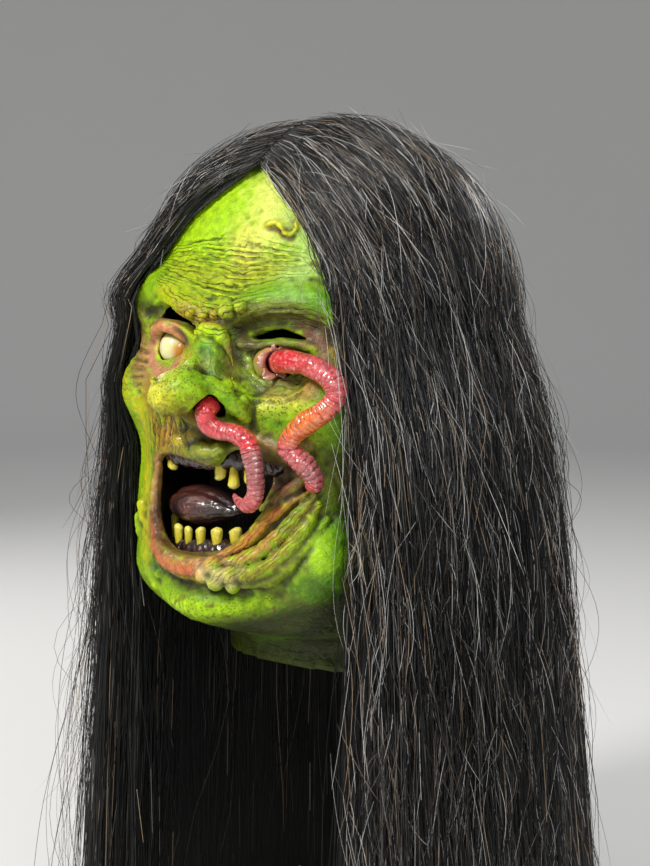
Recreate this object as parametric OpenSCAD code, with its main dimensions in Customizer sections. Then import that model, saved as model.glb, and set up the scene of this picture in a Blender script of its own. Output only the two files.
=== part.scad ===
// Latex ghoul mask: an over-the-head rubber casting of a rotting face, with
// set-in eyeballs and teeth, two rubber worms and a long parted wig.
// Frame: +Z up, the face looks along -Y, +X is the side of the burst eye.
// Origin: in the plane of the neck opening's rim, on the centre line, below the crown.

/* [Skin] */
// Height of the casting from the neck rim to the crown
skin_h = 296; // [290:1:302]
// Half width of the casting at the temples
skin_half_w = 87; // [85:1:89]
// Thickness of the latex wall
wall = 3.5; // [3:0.25:4]
// How far the nose stands out of the face
nose_out = 35; // [30:1:36]
// Number of rings in the skin between the rim and the crown
skin_rings = 42; // [38:1:46]
// Number of facets round each ring of the skin
skin_sides = 52; // [48:4:56]

/* [Eyes] */
// Radius of the two set-in eyeballs
eyeball_r = 10; // [9:0.5:10.5]
// Height of the slits that the wearer looks through
slit_h = 9; // [8:0.5:10]

/* [Mouth] */
// Radius of the rubber gums' round section
gum_r = 4.5; // [4:0.25:5]
// Half width of the tongue
tongue_half_w = 28; // [26:1:29]
// Thickness of the black gauze behind the mouth
scrim_t = 0.8; // [0.5:0.1:1]

/* [Worms] */
// Radius of the worm that hangs out of the burst eye
eye_worm_r = 5.4; // [5:0.1:5.8]
// Radius of the worm that hangs out of the nostril
nose_worm_r = 4.9; // [4.5:0.1:5.2]

/* [Hair] */
// Thickness of the hair where it lies on the crown
crown_hair_t = 7; // [6:1:9]
// Half width of the hanging hair at the top of its curtains
curtain_half_w = 109; // [107:1:111]
// How much wider the hanging hair is at its ends, on each side
curtain_flare = 42; // [30:1:46]
// Height of the hair's ends below the neck rim
hair_drop = 200; // [150:5:220]

/* [Hidden] */
UPPER_TEETH = 5;
LOWER_TEETH = 6;

// ---- Colours ----
skin_green = [0.45, 0.72, 0.10];
hair_black = [0.07, 0.07, 0.07];
net_black = [0.03, 0.03, 0.03];
weft_brown = [0.16, 0.13, 0.11];
scalp_tan = [0.55, 0.47, 0.38];
milky = [0.88, 0.86, 0.62];
bile = [0.70, 0.64, 0.36];
torn_pink = [0.78, 0.42, 0.36];
gum_black = [0.13, 0.07, 0.07];
tongue_brown = [0.26, 0.14, 0.14];
tooth_yellow = [0.83, 0.74, 0.22];
worm_pink = [0.80, 0.28, 0.30];

// ---- Small helpers ----
function clamp(v, low, high) = min(high, max(low, v));
function bell(v, centre, width) = exp(-pow((v - centre) / width, 2));
function total(list, i = 0) = i == len(list) ? 0 : list[i] + total(list, i + 1);
function unit(v) = v / norm(v);
// Catmull-Rom curve through the rows of a table, at parameter t in 0..1
function row_at(rows, t) =
    let (n = len(rows) - 1, s = clamp(t, 0, 1) * n, i = min(floor(s), n - 1), f = s - i,
         a = rows[max(i - 1, 0)], b = rows[i], c = rows[i + 1], d = rows[min(i + 2, n)])
    0.5 * (2 * b + (c - a) * f + (2 * a - 5 * b + 4 * c - d) * f * f
           + (3 * b - a - 3 * c + d) * f * f * f);

// ---- Shape of the head: [height, front, half width, back] up the casting ----
head_rows = [
    [0, -34, 67, 100],
    [17, -40, 67, 99],
    [33, -84, 64, 100],
    [62, -98, 75, 103],
    [110, -93, 82, 105],
    [152, -92, skin_half_w - 2, 108],
    [195, -86, skin_half_w, 108],
    [234, -75, skin_half_w - 8, 99],
    [262, -60, skin_half_w - 22, 83],
    [281, -40, skin_half_w - 42, 61],
    [skin_h - 3, -17, 24, 35],
    [skin_h, 3, 6, 15],
];
// Lumps of the face: [angle, height, angle spread, height spread, how far out]
face_lumps = [
    [0, 156, 8, 14, nose_out], [0, 178, 6, 16, 12], [-11, 150, 5, 7, 7], [11, 150, 5, 7, 7],
    [-17, 199, 12, 8, 7], [17, 199, 12, 8, 7], [-42, 206, 11, 18, 12], [42, 206, 11, 18, 8],
    [-22, 180, 8, 9, -9], [22, 178, 8, 9, -9],
    [-42, 154, 15, 24, 14], [42, 154, 14, 24, 11], [-42, 95, 16, 30, 8],
    [0, 124, 16, 9, 7], [3, 66, 20, 9, 9], [0, 45, 17, 13, 17],
    [-38, 52, 14, 20, 10], [38, 55, 14, 20, 8],
];
function lump_out(angle, z) =
    let (a = angle > 180 ? angle - 360 : angle)
    total([for (l = face_lumps) l[4] * bell(a, l[0], l[2]) * bell(z, l[1], l[3])]);
// Radius of a boxy oval; its front half is squarer than its back half
function oval_r(angle, half_w, half_d) =
    let (n = cos(angle) > 0 ? 2.9 : 2.2)
    pow(pow(abs(sin(angle)) / half_w, n) + pow(abs(cos(angle)) / half_d, n), -1 / n);
// A point on the head, at a distance "out" from the casting's outer face
function head_point(angle, t, out) =
    let (row = row_at(head_rows, t), centre = (row[1] + row[3]) / 2, half_d = (row[3] - row[1]) / 2,
         jaw = 0.8 * bell(row[0], 28, 14) * max(cos(angle), 0),
         rise = out * pow(clamp((row[0] - 225) / 71, 0, 1), 1.5),
         r = oval_r(angle, row[2], half_d) + lump_out(angle, row[0]) + out * (1 + jaw))
    [max(r, 0.5) * sin(angle), centre - max(r, 0.5) * cos(angle), row[0] + rise];
// Angles crowd towards the face, where the detail is
function crowded(u) = 360 * u - 34 * sin(360 * u);

// ---- Solids made of grids of points ----
// Two triangles for each cell of a grid whose points start at "first"
function grid_faces(rows, cols, first, flip, wrap) =
    [for (i = [0 : rows - 2], j = [0 : cols - (wrap ? 1 : 2)])
        let (a = first + i * cols + j, b = first + i * cols + (j + 1) % cols, c = b + cols, d = a + cols)
        each flip ? [[a, b, c], [a, c, d]] : [[a, c, b], [a, d, c]]];
// A wall between two runs of point numbers
function wall_faces(run_a, run_b) =
    [for (i = [0 : len(run_a) - 2])
        each [[run_a[i], run_a[i + 1], run_b[i + 1]], [run_a[i], run_b[i + 1], run_b[i]]]];
// Closed shell between two grids of whole rings, closed by a pole at the top and open below
module ring_shell(outer, inner) {
    rows = len(outer);
    cols = len(outer[0]);
    count = rows * cols;
    top = (rows - 1) * cols;
    loop = [for (j = [0 : cols]) j % cols];
    outer_pole = (outer[rows - 1][0] + outer[rows - 1][cols / 2]) / 2;
    inner_pole = (inner[rows - 1][0] + inner[rows - 1][cols / 2]) / 2;
    polyhedron(
        concat([for (r = outer) each r], [for (r = inner) each r], [outer_pole, inner_pole]),
        concat(grid_faces(rows, cols, 0, false, true), grid_faces(rows, cols, count, true, true),
               wall_faces(loop, [for (j = loop) count + j]),
               [for (j = [0 : cols - 1]) [top + loop[j], 2 * count, top + loop[j + 1]]],
               [for (j = [0 : cols - 1]) [count + top + loop[j], count + top + loop[j + 1], 2 * count + 1]]),
        convexity = 8);
}
// Closed solid between two open grids, with a wall round its four edges
module patch_solid(outer, inner) {
    rows = len(outer);
    cols = len(outer[0]);
    count = rows * cols;
    low = [for (j = [0 : cols - 1]) j];
    high = [for (j = [0 : cols - 1]) (rows - 1) * cols + j];
    first = [for (i = [0 : rows - 1]) i * cols];
    last = [for (i = [0 : rows - 1]) i * cols + cols - 1];
    function inner_of(run) = [for (p = run) count + p];
    polyhedron(
        concat([for (r = outer) each r], [for (r = inner) each r]),
        concat(grid_faces(rows, cols, 0, false, false), grid_faces(rows, cols, count, true, false),
               wall_faces(low, inner_of(low)), wall_faces(inner_of(high), high),
               wall_faces(inner_of(first), first), wall_faces(last, inner_of(last))),
        convexity = 8);
}
// Round tube along a smooth curve through the route, with its radius from a list of stations
module swept_tube(route, radii, rings, sides) {
    centres = [for (i = [0 : rings]) row_at(route, i / rings)];
    frames = [for (i = [0 : rings])
        let (ahead = unit(row_at(route, min(i / rings + 0.01, 1)) - row_at(route, max(i / rings - 0.01, 0))),
             across = unit(cross(ahead, [0.31, -0.87, 0.38])))
        [across, cross(ahead, across)]];
    skin = [for (i = [0 : rings], j = [0 : sides - 1])
        let (r = row_at(radii, i / rings)[0], a = 360 * j / sides)
        centres[i] + r * (cos(a) * frames[i][0] + sin(a) * frames[i][1])];
    count = (rings + 1) * sides;
    polyhedron(
        concat(skin, [centres[0], centres[rings]]),
        concat(grid_faces(rings + 1, sides, 0, false, true),
               [for (j = [0 : sides - 1]) [count, j, (j + 1) % sides]],
               [for (j = [0 : sides - 1]) [count + 1, rings * sides + (j + 1) % sides, rings * sides + j]]),
        convexity = 8);
}

// ---- The casting: face, skull and neck in one skin ----
// Places in the face, [x, y, z]
milky_eye = [-42, -74, 178];
burst_eye = [28, -77, 172.5];
nostril = [12, -108, 151];
// Ends of the two slits that the wearer looks through, [x, z]
left_slit = [[-43, 191.5], [-12, 186]];
right_slit = [[23, 183.5], [46, 185.5]];
// Round corners of the mouth, [x, z, radius]
mouth_corners = [[-34, 114, 7], [-26, 81, 8], [12, 80, 9], [37, 89, 8], [46, 115, 7]];
function head_grid(out) = [for (i = [0 : skin_rings])
    [for (j = [0 : skin_sides - 1]) head_point(crowded(j / skin_sides), i / skin_rings, out)]];
module along_y(x, z, r, y0, y1) {
    translate([x, y0, z]) rotate([-90, 0, 0]) cylinder(r = r, h = y1 - y0, $fn = 24);
}
module slit_cut(ends) {
    hull() {
        for (e = ends) along_y(e[0], e[1], slit_h / 2, -130, -50);
    }
}
module mouth_cut() {
    hull() {
        for (c = mouth_corners) along_y(c[0], c[1], c[2], -130, -64);
    }
}
// Slit up the nape that lets the neck open over the wearer's head
module nape_slit() {
    slit_w = 3;
    slit_top = 90;
    translate([-slit_w / 2, 80, -1]) cube([slit_w, 50, slit_top + 1]);
    along_y(0, slit_top, slit_w, 80, 130);
}
module face_skin() {
    color(skin_green) difference() {
        ring_shell(head_grid(0), head_grid(-wall));
        slit_cut(left_slit);
        slit_cut(right_slit);
        mouth_cut();
        along_y(milky_eye[0], milky_eye[2], eyeball_r - 0.5, -130, milky_eye[1]);
        along_y(burst_eye[0] + 2, burst_eye[2] + 1, eyeball_r - 0.5, -130, burst_eye[1] + 4);
        along_y(burst_eye[0] + 12, burst_eye[2] + 1, eye_worm_r + 3, -130, burst_eye[1] + 4);
        translate(nostril) sphere(r = nose_worm_r + 4, $fn = 24);
        nape_slit();
    }
}

// ---- Eyes ----
// Way the worm leaves the middle of the ball
eye_worm_aim = unit([16, -11, 1.5]);
module aimed(at, dir) {
    translate(at) rotate([0, acos(dir[2]), atan2(dir[1], dir[0])]) children();
}
module milky_eyeball() {
    color(milky) translate(milky_eye) sphere(r = eyeball_r, $fn = 48);
}
// The ball has a blind bore where the worm comes out of it
module burst_eyeball() {
    bore_r = eye_worm_r + 1.4;
    bore_floor = 1;
    bore_mouth = sqrt(pow(eyeball_r, 2) - pow(bore_r, 2));
    arc = [for (a = [-82.5 : 7.5 : 35]) eyeball_r * [cos(a), sin(a)]];
    color(bile) aimed(burst_eye, eye_worm_aim) rotate_extrude($fn = 48)
        polygon(concat([[0, -eyeball_r]], arc, [[bore_r, bore_mouth], [bore_r, bore_floor], [0, bore_floor]]));
}
// Ragged flaps that stand round the bore
module torn_eye_rim() {
    flaps = 7;
    color(torn_pink) aimed(eye_worm_route[0] - 1.5 * eye_worm_aim, eye_worm_aim)
        for (i = [0 : flaps - 1])
            rotate(i * 360 / flaps) translate([eye_worm_r + 3.4, 0, -1]) rotate([0, 24, 0])
                cylinder(r1 = 1.8, r2 = 0.5, h = 4.5 + 1.2 * sin(140 * i), $fn = 24);
}

// ---- Mouth ----
// Line of the gums round the mouth, [x, y, 0]
gum_line = [[-45, -68, 0], [-41, -82, 0], [-24, -89, 0], [-2, -91, 0], [18, -88, 0], [36, -81, 0], [46, -66, 0]];
// Heights of the gums at their left and right ends
upper_gum_z = [122, 121];
lower_gum_z = [67, 78];
function gum_route(ends) = [for (i = [0 : 6]) gum_line[i] + [0, 2, ends[0] + (ends[1] - ends[0]) * i / 6]];
module gum(ends) {
    swept_tube(gum_route(ends), [[gum_r - 1.5], [gum_r], [gum_r], [gum_r - 1.5]], 18, 10);
}
module upper_gum() {
    color(gum_black) gum(upper_gum_z);
}
module lower_gum() {
    color(gum_black) gum(lower_gum_z);
}
// Teeth: [place along the gum 0..1, length, radius at the gum, radius at the tip, lean]
upper_teeth = [[0.12, 9, 2.2, 1.6, 6], [0.22, 9.5, 3, 2.5, 2], [0.54, 11, 3.1, 2.3, -5],
               [0.61, 15, 3.2, 0.8, 3], [0.68, 12, 2.3, 1.6, -4]];
lower_teeth = [[0.1, 20, 2.3, 1.2, 0], [0.28, 14, 2.4, 1.7, -5], [0.355, 13, 2.1, 1.6, 4],
               [0.43, 13, 2.6, 1.4, 3], [0.52, 13, 3, 1.9, -3], [0.615, 13, 3.1, 2.3, 8]];
// One tooth as a round peg with a domed tip, growing along +Z
module tooth_peg(length, base_r, tip_r) {
    dome = [for (a = [0 : 15 : 90]) [tip_r * cos(a), length - tip_r + tip_r * sin(a)]];
    rotate_extrude($fn = 32) polygon(concat([[0, -2], [base_r, -2], [base_r, length * 0.35]], dome));
}
module tooth(ends, spec, up) {
    root = row_at(gum_route(ends), spec[0]);
    color(tooth_yellow) translate(root + [0, -1.5, 0]) rotate([up ? 0 : 180, spec[4], 0])
        tooth_peg(spec[1], spec[2], spec[3]);
}
module tongue() {
    color(tongue_brown) translate([-20, -75, 93]) rotate([8, 0, -8]) scale([tongue_half_w, 14.5, 10])
        sphere(r = 1, $fn = 32);
}
module mouth_scrim() {
    bend_r = 78;
    color(net_black) translate([3, 18, 62]) rotate(-90 - 42)
        rotate_extrude(angle = 84, $fn = 96) translate([bend_r, 0]) square([scrim_t, 70]);
}

// ---- Worms: routes from the root to the free tip ----
eye_worm_route = [
    [36, -82, 173], [44, -88, 174], [54, -89, 174], [65, -89, 172], [74, -87, 166], [77, -87, 158],
    [73, -91, 151], [64, -94, 145], [56, -95, 138], [53, -95, 131], [58, -93, 126], [63, -90, 120],
    [64, -88, 115], [61, -89, 110]];
nose_worm_route = [
    [12, -106, 152], [13, -112, 149], [13, -110, 143], [18, -107, 139], [26, -105, 138], [34, -104, 134],
    [37, -104, 126], [38, -103, 116], [37, -102, 107], [31, -101, 101], [24, -100, 103], [20, -99, 106]];
module eye_worm() {
    color(worm_pink) swept_tube(eye_worm_route,
        [[eye_worm_r - 1], [eye_worm_r], [eye_worm_r], [eye_worm_r], [eye_worm_r], [eye_worm_r - 2.6]], 40, 10);
}
module nose_worm() {
    color(worm_pink) swept_tube(nose_worm_route,
        [[nose_worm_r - 1], [nose_worm_r], [nose_worm_r], [nose_worm_r], [nose_worm_r - 1], [1]], 36, 10);
}

// ---- Wig ----
// Angle of the hairline from straight ahead, at each height
hairline_table = [[150, 44], [183, 42], [220, 37], [248, 25], [262, 13], [272, 5], [288, 12], [294, 20]];
function hairline(t) = lookup(row_at(head_rows, t)[0], hairline_table);
// Low and high ends of the capped part, as shares of the casting's rows
cap_low = 0.47;
hair_low = 0.565;
crown_high = 0.93;
// Grid over the head between two angles that may change up the head
function scalp_grid(out, t0, t1, rows, cols, from, to) = [for (i = [0 : rows])
    let (t = t0 + (t1 - t0) * i / rows)
    [for (j = [0 : cols])
        head_point((1 - j / cols) * max(from, hairline(t)) + j / cols * min(to, 360 - hairline(t)), t, out)]];
module scalp_patch(out0, out1, t0, t1, rows, cols, from, to) {
    patch_solid(scalp_grid(out1, t0, t1, rows, cols, from, to), scalp_grid(out0, t0, t1, rows, cols, from, to));
}
cap_gap = 2.4;
cap_t = 0.8;
weft_gap = 0.6;
weft_t = 0.7;
hair_gap = cap_gap + cap_t + weft_gap + weft_t + 1.2;
module wig_cap() {
    color(net_black) scalp_patch(cap_gap, cap_gap + cap_t, cap_low, crown_high, 20, 40, 0, 360);
}
module weft_tracks() {
    tracks = 6;
    color(weft_brown) for (i = [0 : tracks - 1])
        let (t = cap_low + 0.01 + (crown_high - cap_low - 0.04) * i / (tracks - 1))
            scalp_patch(cap_gap + cap_t + weft_gap, cap_gap + cap_t + weft_gap + weft_t,
                        t, t + 0.012, 1, 40, 45, 315);
}
// Strip of scalp-coloured backing that the parted hair is tied into
module parting_strip() {
    strip_half_w = 4;
    from = 0.79;
    runs = 8;
    function strip_point(i, side, out) = head_point(0, from + (0.985 - from) * i / runs, out)
        + [side * strip_half_w, 0, -0.3];
    color(scalp_tan) patch_solid(
        [for (i = [0 : runs]) [strip_point(i, 1, 2.4), strip_point(i, -1, 2.4)]],
        [for (i = [0 : runs]) [strip_point(i, 1, 1.5), strip_point(i, -1, 1.5)]]);
}
module crown_hair(from, to) {
    color(hair_black) scalp_patch(hair_gap, hair_gap + crown_hair_t, hair_low, crown_high, 16, 16, from, to);
}
side_back = 140;
module crown_hair_right() {
    crown_hair(0, side_back);
}
module crown_hair_left() {
    crown_hair(360 - side_back, 360);
}
module crown_hair_back() {
    crown_hair(side_back + 1, 359 - side_back);
}
// Hanging hair: an oval skirt that flares towards its ends, cut into three curtains
curtain_top = 192;
curtain_centre = 12;
curtain_front = 44;
// Share of the way up the casting's rows at a height, and the casting's reach there
function row_share(z) = lookup(z, [for (i = [0 : len(head_rows) - 1]) [head_rows[i][0], i / (len(head_rows) - 1)]]);
function skin_reach(angle, z) =
    let (p = head_point(angle, row_share(z), 5))
    z < 20 ? 0 : norm([p[0], p[1] - curtain_centre]);
function skirt_point(angle, s, half_w, half_d) =
    let (z = curtain_top - s * (curtain_top + hair_drop), r = max(oval_r(angle, half_w, half_d), skin_reach(angle, z)))
    [r * sin(angle), curtain_centre - r * cos(angle), z];
function skirt_grid(half_w, half_d, flare, from, to, rows, cols) = [for (i = [rows : -1 : 0])
    let (s = i / rows, spread = flare * pow(s, 0.8))
    [for (j = [0 : cols]) skirt_point(from + (to - from) * j / cols, s, half_w + spread, half_d + spread)]];
module curtain(from, to) {
    color(hair_black) patch_solid(
        skirt_grid(curtain_half_w, 115, curtain_flare, from, to, 12, 10),
        skirt_grid(skin_half_w + 6, 101, curtain_flare / 3, from, to, 12, 10));
}
module hair_right() {
    curtain(curtain_front, side_back);
}
module hair_left() {
    curtain(360 - side_back, 360 - curtain_front);
}
module hair_back() {
    curtain(side_back + 2, 358 - side_back);
}

face_skin();
wig_cap();
weft_tracks();
parting_strip();
crown_hair_left();
crown_hair_right();
crown_hair_back();
hair_left();
hair_right();
hair_back();
milky_eyeball();
burst_eyeball();
torn_eye_rim();
upper_gum();
lower_gum();
tongue();
mouth_scrim();
eye_worm();
nose_worm();
for (i = [1 : UPPER_TEETH])
    tooth(upper_gum_z, upper_teeth[i - 1], false);
for (i = [1 : LOWER_TEETH])
    tooth(lower_gum_z, lower_teeth[i - 1], true);
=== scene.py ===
"""Latex ghoul mask: a sculpted rubber face with set-in eyes, teeth and worms, and a long parted wig.

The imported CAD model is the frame. Shapes are worked out in millimetres in the CAD's frame
(+Z up, the face looks along -Y) and turn into metres when a mesh is made.
"""

import math

import bmesh
import bpy
import numpy as np
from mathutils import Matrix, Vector


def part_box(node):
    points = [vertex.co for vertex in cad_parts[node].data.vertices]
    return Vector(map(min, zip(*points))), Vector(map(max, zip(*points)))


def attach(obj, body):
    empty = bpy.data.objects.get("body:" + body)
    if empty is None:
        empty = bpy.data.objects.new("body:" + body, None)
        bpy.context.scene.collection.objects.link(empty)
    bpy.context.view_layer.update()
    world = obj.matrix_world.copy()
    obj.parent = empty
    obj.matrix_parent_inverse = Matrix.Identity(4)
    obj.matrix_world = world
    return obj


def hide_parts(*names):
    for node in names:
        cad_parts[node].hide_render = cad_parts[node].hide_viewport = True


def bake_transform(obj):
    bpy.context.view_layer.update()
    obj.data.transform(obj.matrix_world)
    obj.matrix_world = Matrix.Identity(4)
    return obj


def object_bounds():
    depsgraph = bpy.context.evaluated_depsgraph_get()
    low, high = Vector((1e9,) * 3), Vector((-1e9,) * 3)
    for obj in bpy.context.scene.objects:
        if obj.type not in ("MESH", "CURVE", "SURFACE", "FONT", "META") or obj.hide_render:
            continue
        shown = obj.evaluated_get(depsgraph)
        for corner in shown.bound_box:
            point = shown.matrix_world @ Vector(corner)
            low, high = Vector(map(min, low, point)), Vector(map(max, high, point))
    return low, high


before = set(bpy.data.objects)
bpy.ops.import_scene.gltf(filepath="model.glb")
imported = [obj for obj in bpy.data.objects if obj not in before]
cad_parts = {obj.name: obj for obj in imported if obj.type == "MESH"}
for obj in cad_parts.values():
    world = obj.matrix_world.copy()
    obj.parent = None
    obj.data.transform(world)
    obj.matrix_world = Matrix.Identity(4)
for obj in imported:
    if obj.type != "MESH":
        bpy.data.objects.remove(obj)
cad_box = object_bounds()

MM = 0.001  # metres in a millimetre


# ---------------------------------------------------------------- camera, light and stage
def make_camera():
    """Camera at the viewing angle: three-quarters from the burst eye's side, a little above level."""
    azimuth, elevation, distance = math.radians(38), math.radians(6), 0.85
    target = Vector((0.002, 0, 0.128))
    away = Vector((math.sin(azimuth) * math.cos(elevation), -math.cos(azimuth) * math.cos(elevation),
                   math.sin(elevation)))
    data = bpy.data.cameras.new("camera")
    data.lens = 62
    data.sensor_width = 36
    camera = bpy.data.objects.new("camera", data)
    camera.location = target + distance * away
    camera.rotation_euler = (-away).to_track_quat("-Z", "Y").to_euler()
    bpy.context.scene.collection.objects.link(camera)
    bpy.context.scene.camera = camera


def add_light(name, place, aim, size, watts, colour=(1, 1, 1)):
    """A round area light at a place, turned to its aim; all in metres."""
    data = bpy.data.lights.new(name, "AREA")
    data.shape = "DISK"
    data.size = size
    data.energy = watts
    data.color = colour
    light = bpy.data.objects.new(name, data)
    light.location = place
    light.rotation_euler = (Vector(aim) - Vector(place)).to_track_quat("-Z", "Y").to_euler()
    bpy.context.scene.collection.objects.link(light)


def make_stage():
    """Plain pale floor just under the hair's ends, curving up all round into a low backdrop."""
    floor_z = cad_box[0][2] - 0.002
    reach, bend_r, wall = 4.5, 1.6, 2.4
    bend = [(reach - bend_r + bend_r * math.sin(a), bend_r - bend_r * math.cos(a))
            for a in np.linspace(0, math.pi / 2, 17)]
    profile = [(0.0001, 0), (1.5, 0)] + bend + [(reach, wall)]
    sides = 64
    turn = np.linspace(0, 2 * math.pi, sides, endpoint=False)
    verts = [(r * math.cos(a) / MM, r * math.sin(a) / MM, (floor_z + z) / MM)
             for r, z in profile for a in turn]
    paint = Graph("floor_paint", {"Base Color": (0.66, 0.65, 0.63, 1), "Roughness": 0.85})
    floor = mesh_object("floor", verts, grid_quads(len(profile), sides, True), paint.mat)


def make_light():
    """Cool even room light, a warm key from the front, a fill from the camera's side and two rims."""
    world = bpy.data.worlds.new("world")
    world.use_nodes = True
    world.node_tree.nodes["Background"].inputs["Color"].default_value = (0.80, 0.83, 0.88, 1)
    world.node_tree.nodes["Background"].inputs["Strength"].default_value = 0.42
    bpy.context.scene.world = world
    aim = (0, 0, 0.13)
    add_light("key", (-0.25, -1.45, 1.35), aim, 0.40, 33, (1.0, 0.98, 0.94))
    add_light("camera_side", (1.4, -0.9, 0.7), aim, 0.6, 8, (0.94, 0.97, 1.0))
    add_light("rim", (0.8, 1.2, 1.3), aim, 0.5, 14)
    add_light("far_rim", (-1.3, 0.4, 0.8), aim, 0.5, 8)
    bpy.context.scene.view_settings.view_transform = "Standard"


# ---------------------------------------------------------------- materials
class Graph:
    """A Principled material and a short way to add nodes to it."""

    def __init__(self, name, plain=None):
        self.mat = bpy.data.materials.new(name)
        self.mat.use_nodes = True
        self.tree = self.mat.node_tree
        self.bsdf = self.tree.nodes["Principled BSDF"]
        for socket, value in (plain or {}).items():
            self.bsdf.inputs[socket].default_value = value

    def add(self, kind, inputs=None, **settings):
        """A shader node with its settings, and its inputs linked or filled."""
        node = self.tree.nodes.new("ShaderNode" + kind)
        for key, value in settings.items():
            setattr(node, key, value)
        for key, value in (inputs or {}).items():
            self.put(node.inputs[key], value)
        return node

    def put(self, socket, value):
        """Links an output to the socket, or sets the socket's own value."""
        if isinstance(value, bpy.types.NodeSocket):
            self.tree.links.new(value, socket)
        else:
            socket.default_value = value

    def set(self, socket, value):
        """Fills or links one of the shader's own sockets."""
        self.put(self.bsdf.inputs[socket], value)

    def where(self, stretch=(1, 1, 1)):
        """Object coordinates, stretched."""
        coord = self.add("TexCoord").outputs["Object"]
        return self.add("Mapping", {"Vector": coord, "Scale": stretch}).outputs["Vector"]

    def noise(self, scale, detail=4, rough=0.55, stretch=(1, 1, 1), warp=0.0):
        """Noise in object space; scale is in lumps to a metre."""
        return self.add("TexNoise", {"Vector": self.where(stretch), "Scale": scale, "Detail": detail,
                                     "Roughness": rough, "Distortion": warp}).outputs["Fac"]

    def ramp(self, value, low, high, to_low=0.0, to_high=1.0):
        """The value's stretch from low to high, spread over to_low to to_high."""
        return self.add("MapRange", {0: value, 1: low, 2: high, 3: to_low, 4: to_high}).outputs[0]

    def math(self, operation, a, b):
        """One sum or other operation on two values."""
        return self.add("Math", {0: a, 1: b}, operation=operation).outputs[0]

    def mix(self, share, a, b, blend="MIX"):
        """Colour a, taken towards b by a share."""
        node = self.add("Mix", data_type="RGBA", blend_type=blend)
        self.put(node.inputs[0], share)
        self.put(node.inputs[6], a)
        self.put(node.inputs[7], b)
        return node.outputs[2]

    def attribute(self, name, output="Fac"):
        """What is stored on the mesh at each point under a name."""
        return self.add("Attribute", attribute_name=name).outputs[output]

    def bump(self, layers):
        """Stacks height layers, each (height, strength, metres deep), into the normal."""
        normal = None
        for height, strength, depth in layers:
            inputs = {"Height": height, "Strength": strength, "Distance": depth}
            if normal is not None:
                inputs["Normal"] = normal
            normal = self.add("Bump", inputs).outputs["Normal"]
        self.set("Normal", normal)


def latex_material():
    """Painted latex: hand-painted colour, mottling, pores, wrinkles, and wet places."""
    g = Graph("painted_latex", {"Specular IOR Level": 0.3, "Coat Roughness": 0.14,
                                "Subsurface Weight": 0.03, "Subsurface Scale": 0.004,
                                "Subsurface Radius": (0.6, 0.8, 0.2)})
    paint = g.attribute("paint", "Color")
    wash = g.attribute("wash")
    wet = g.attribute("wet")
    pores = g.attribute("pores")
    blotch = g.ramp(g.noise(70, 5, 0.6), 0.35, 0.7)
    streak = g.ramp(g.noise(260, 6, 0.65, (1, 1, 0.55), 0.6), 0.38, 0.64)
    colour = g.mix(g.math("MULTIPLY", blotch, 0.35), paint, (0.76, 0.84, 0.48, 1), "MULTIPLY")
    colour = g.mix(g.math("MULTIPLY", streak, 0.46), colour, (0.44, 0.46, 0.22, 1), "MULTIPLY")
    dots = g.add("TexVoronoi", {"Vector": g.where(), "Scale": 640, "Randomness": 1.0}).outputs["Distance"]
    pore = g.math("MULTIPLY", g.ramp(dots, 0.26, 0.44, 1.0, 0.0), g.ramp(g.noise(150, 3), 0.30, 0.46))
    colour = g.mix(g.math("MULTIPLY", pore, pores), colour, (0.07, 0.045, 0.008, 1))
    fold = wrinkle(g)
    colour = g.mix(g.math("MULTIPLY", fold, 0.85), colour, (0.07, 0.075, 0.012, 1))
    # the wash darkens the paint: a real dark wash in the creases, and painted shade in the broad hollows
    wash_and_shade = g.math("MULTIPLY", wash, g.ramp(g.noise(330, 4), 0.25, 0.55, 0.6, 1.0))
    colour = g.mix(wash_and_shade, colour, (0.035, 0.030, 0.012, 1))
    g.set("Base Color", colour)
    g.set("Roughness", g.math("SUBTRACT", g.ramp(g.noise(210, 4), 0.3, 0.75, 0.36, 0.55),
                              g.math("MULTIPLY", wet, 0.27)))
    g.set("Coat Weight", g.math("MULTIPLY", wet, 0.6))
    g.bump([(g.noise(420, 4, 0.6), 0.55, 0.0006), (fold, 0.8, -0.0011), (pore, 0.5, -0.0003),
            (g.noise(1500, 2), 0.25, 0.0002)])
    return g.mat


def wrinkle(g):
    """Thin lines wherever the mesh's fold number passes a whole number, as deep as its fold depth."""
    number = g.math("ADD", g.attribute("fold_number"), g.ramp(g.noise(100, 4, 0.58), 0, 1, -1.0, 1.0))
    away = g.math("ABSOLUTE", g.math("SUBTRACT", g.math("FRACT", number, 0.0), 0.5), 0.0)
    line = g.ramp(away, 0.34, 0.50)
    broken = g.ramp(g.noise(90, 4, 0.6), 0.34, 0.56, 0.08, 1.0)
    return g.math("MULTIPLY", g.math("MULTIPLY", line, broken), g.attribute("fold_depth"))


def wet_material(name, rough, grain=900):
    """Wet painted rubber with its colour from the mesh and a fine pebbled bump."""
    g = Graph(name, {"Coat Weight": 0.7, "Coat Roughness": 0.06, "Specular IOR Level": 0.6})
    paint = g.attribute("paint", "Color")
    mottle = g.ramp(g.noise(380, 5, 0.65), 0.36, 0.68)
    g.set("Base Color", g.mix(g.math("MULTIPLY", mottle, 0.55), paint, (0.35, 0.25, 0.20, 1), "MULTIPLY"))
    g.set("Roughness", g.ramp(g.noise(300, 3), 0.3, 0.7, rough, rough + 0.16))
    g.bump([(g.noise(grain, 4, 0.6), 0.6, 0.0007), (g.noise(grain * 0.3, 3), 0.4, 0.0010)])
    return g.mat


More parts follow.
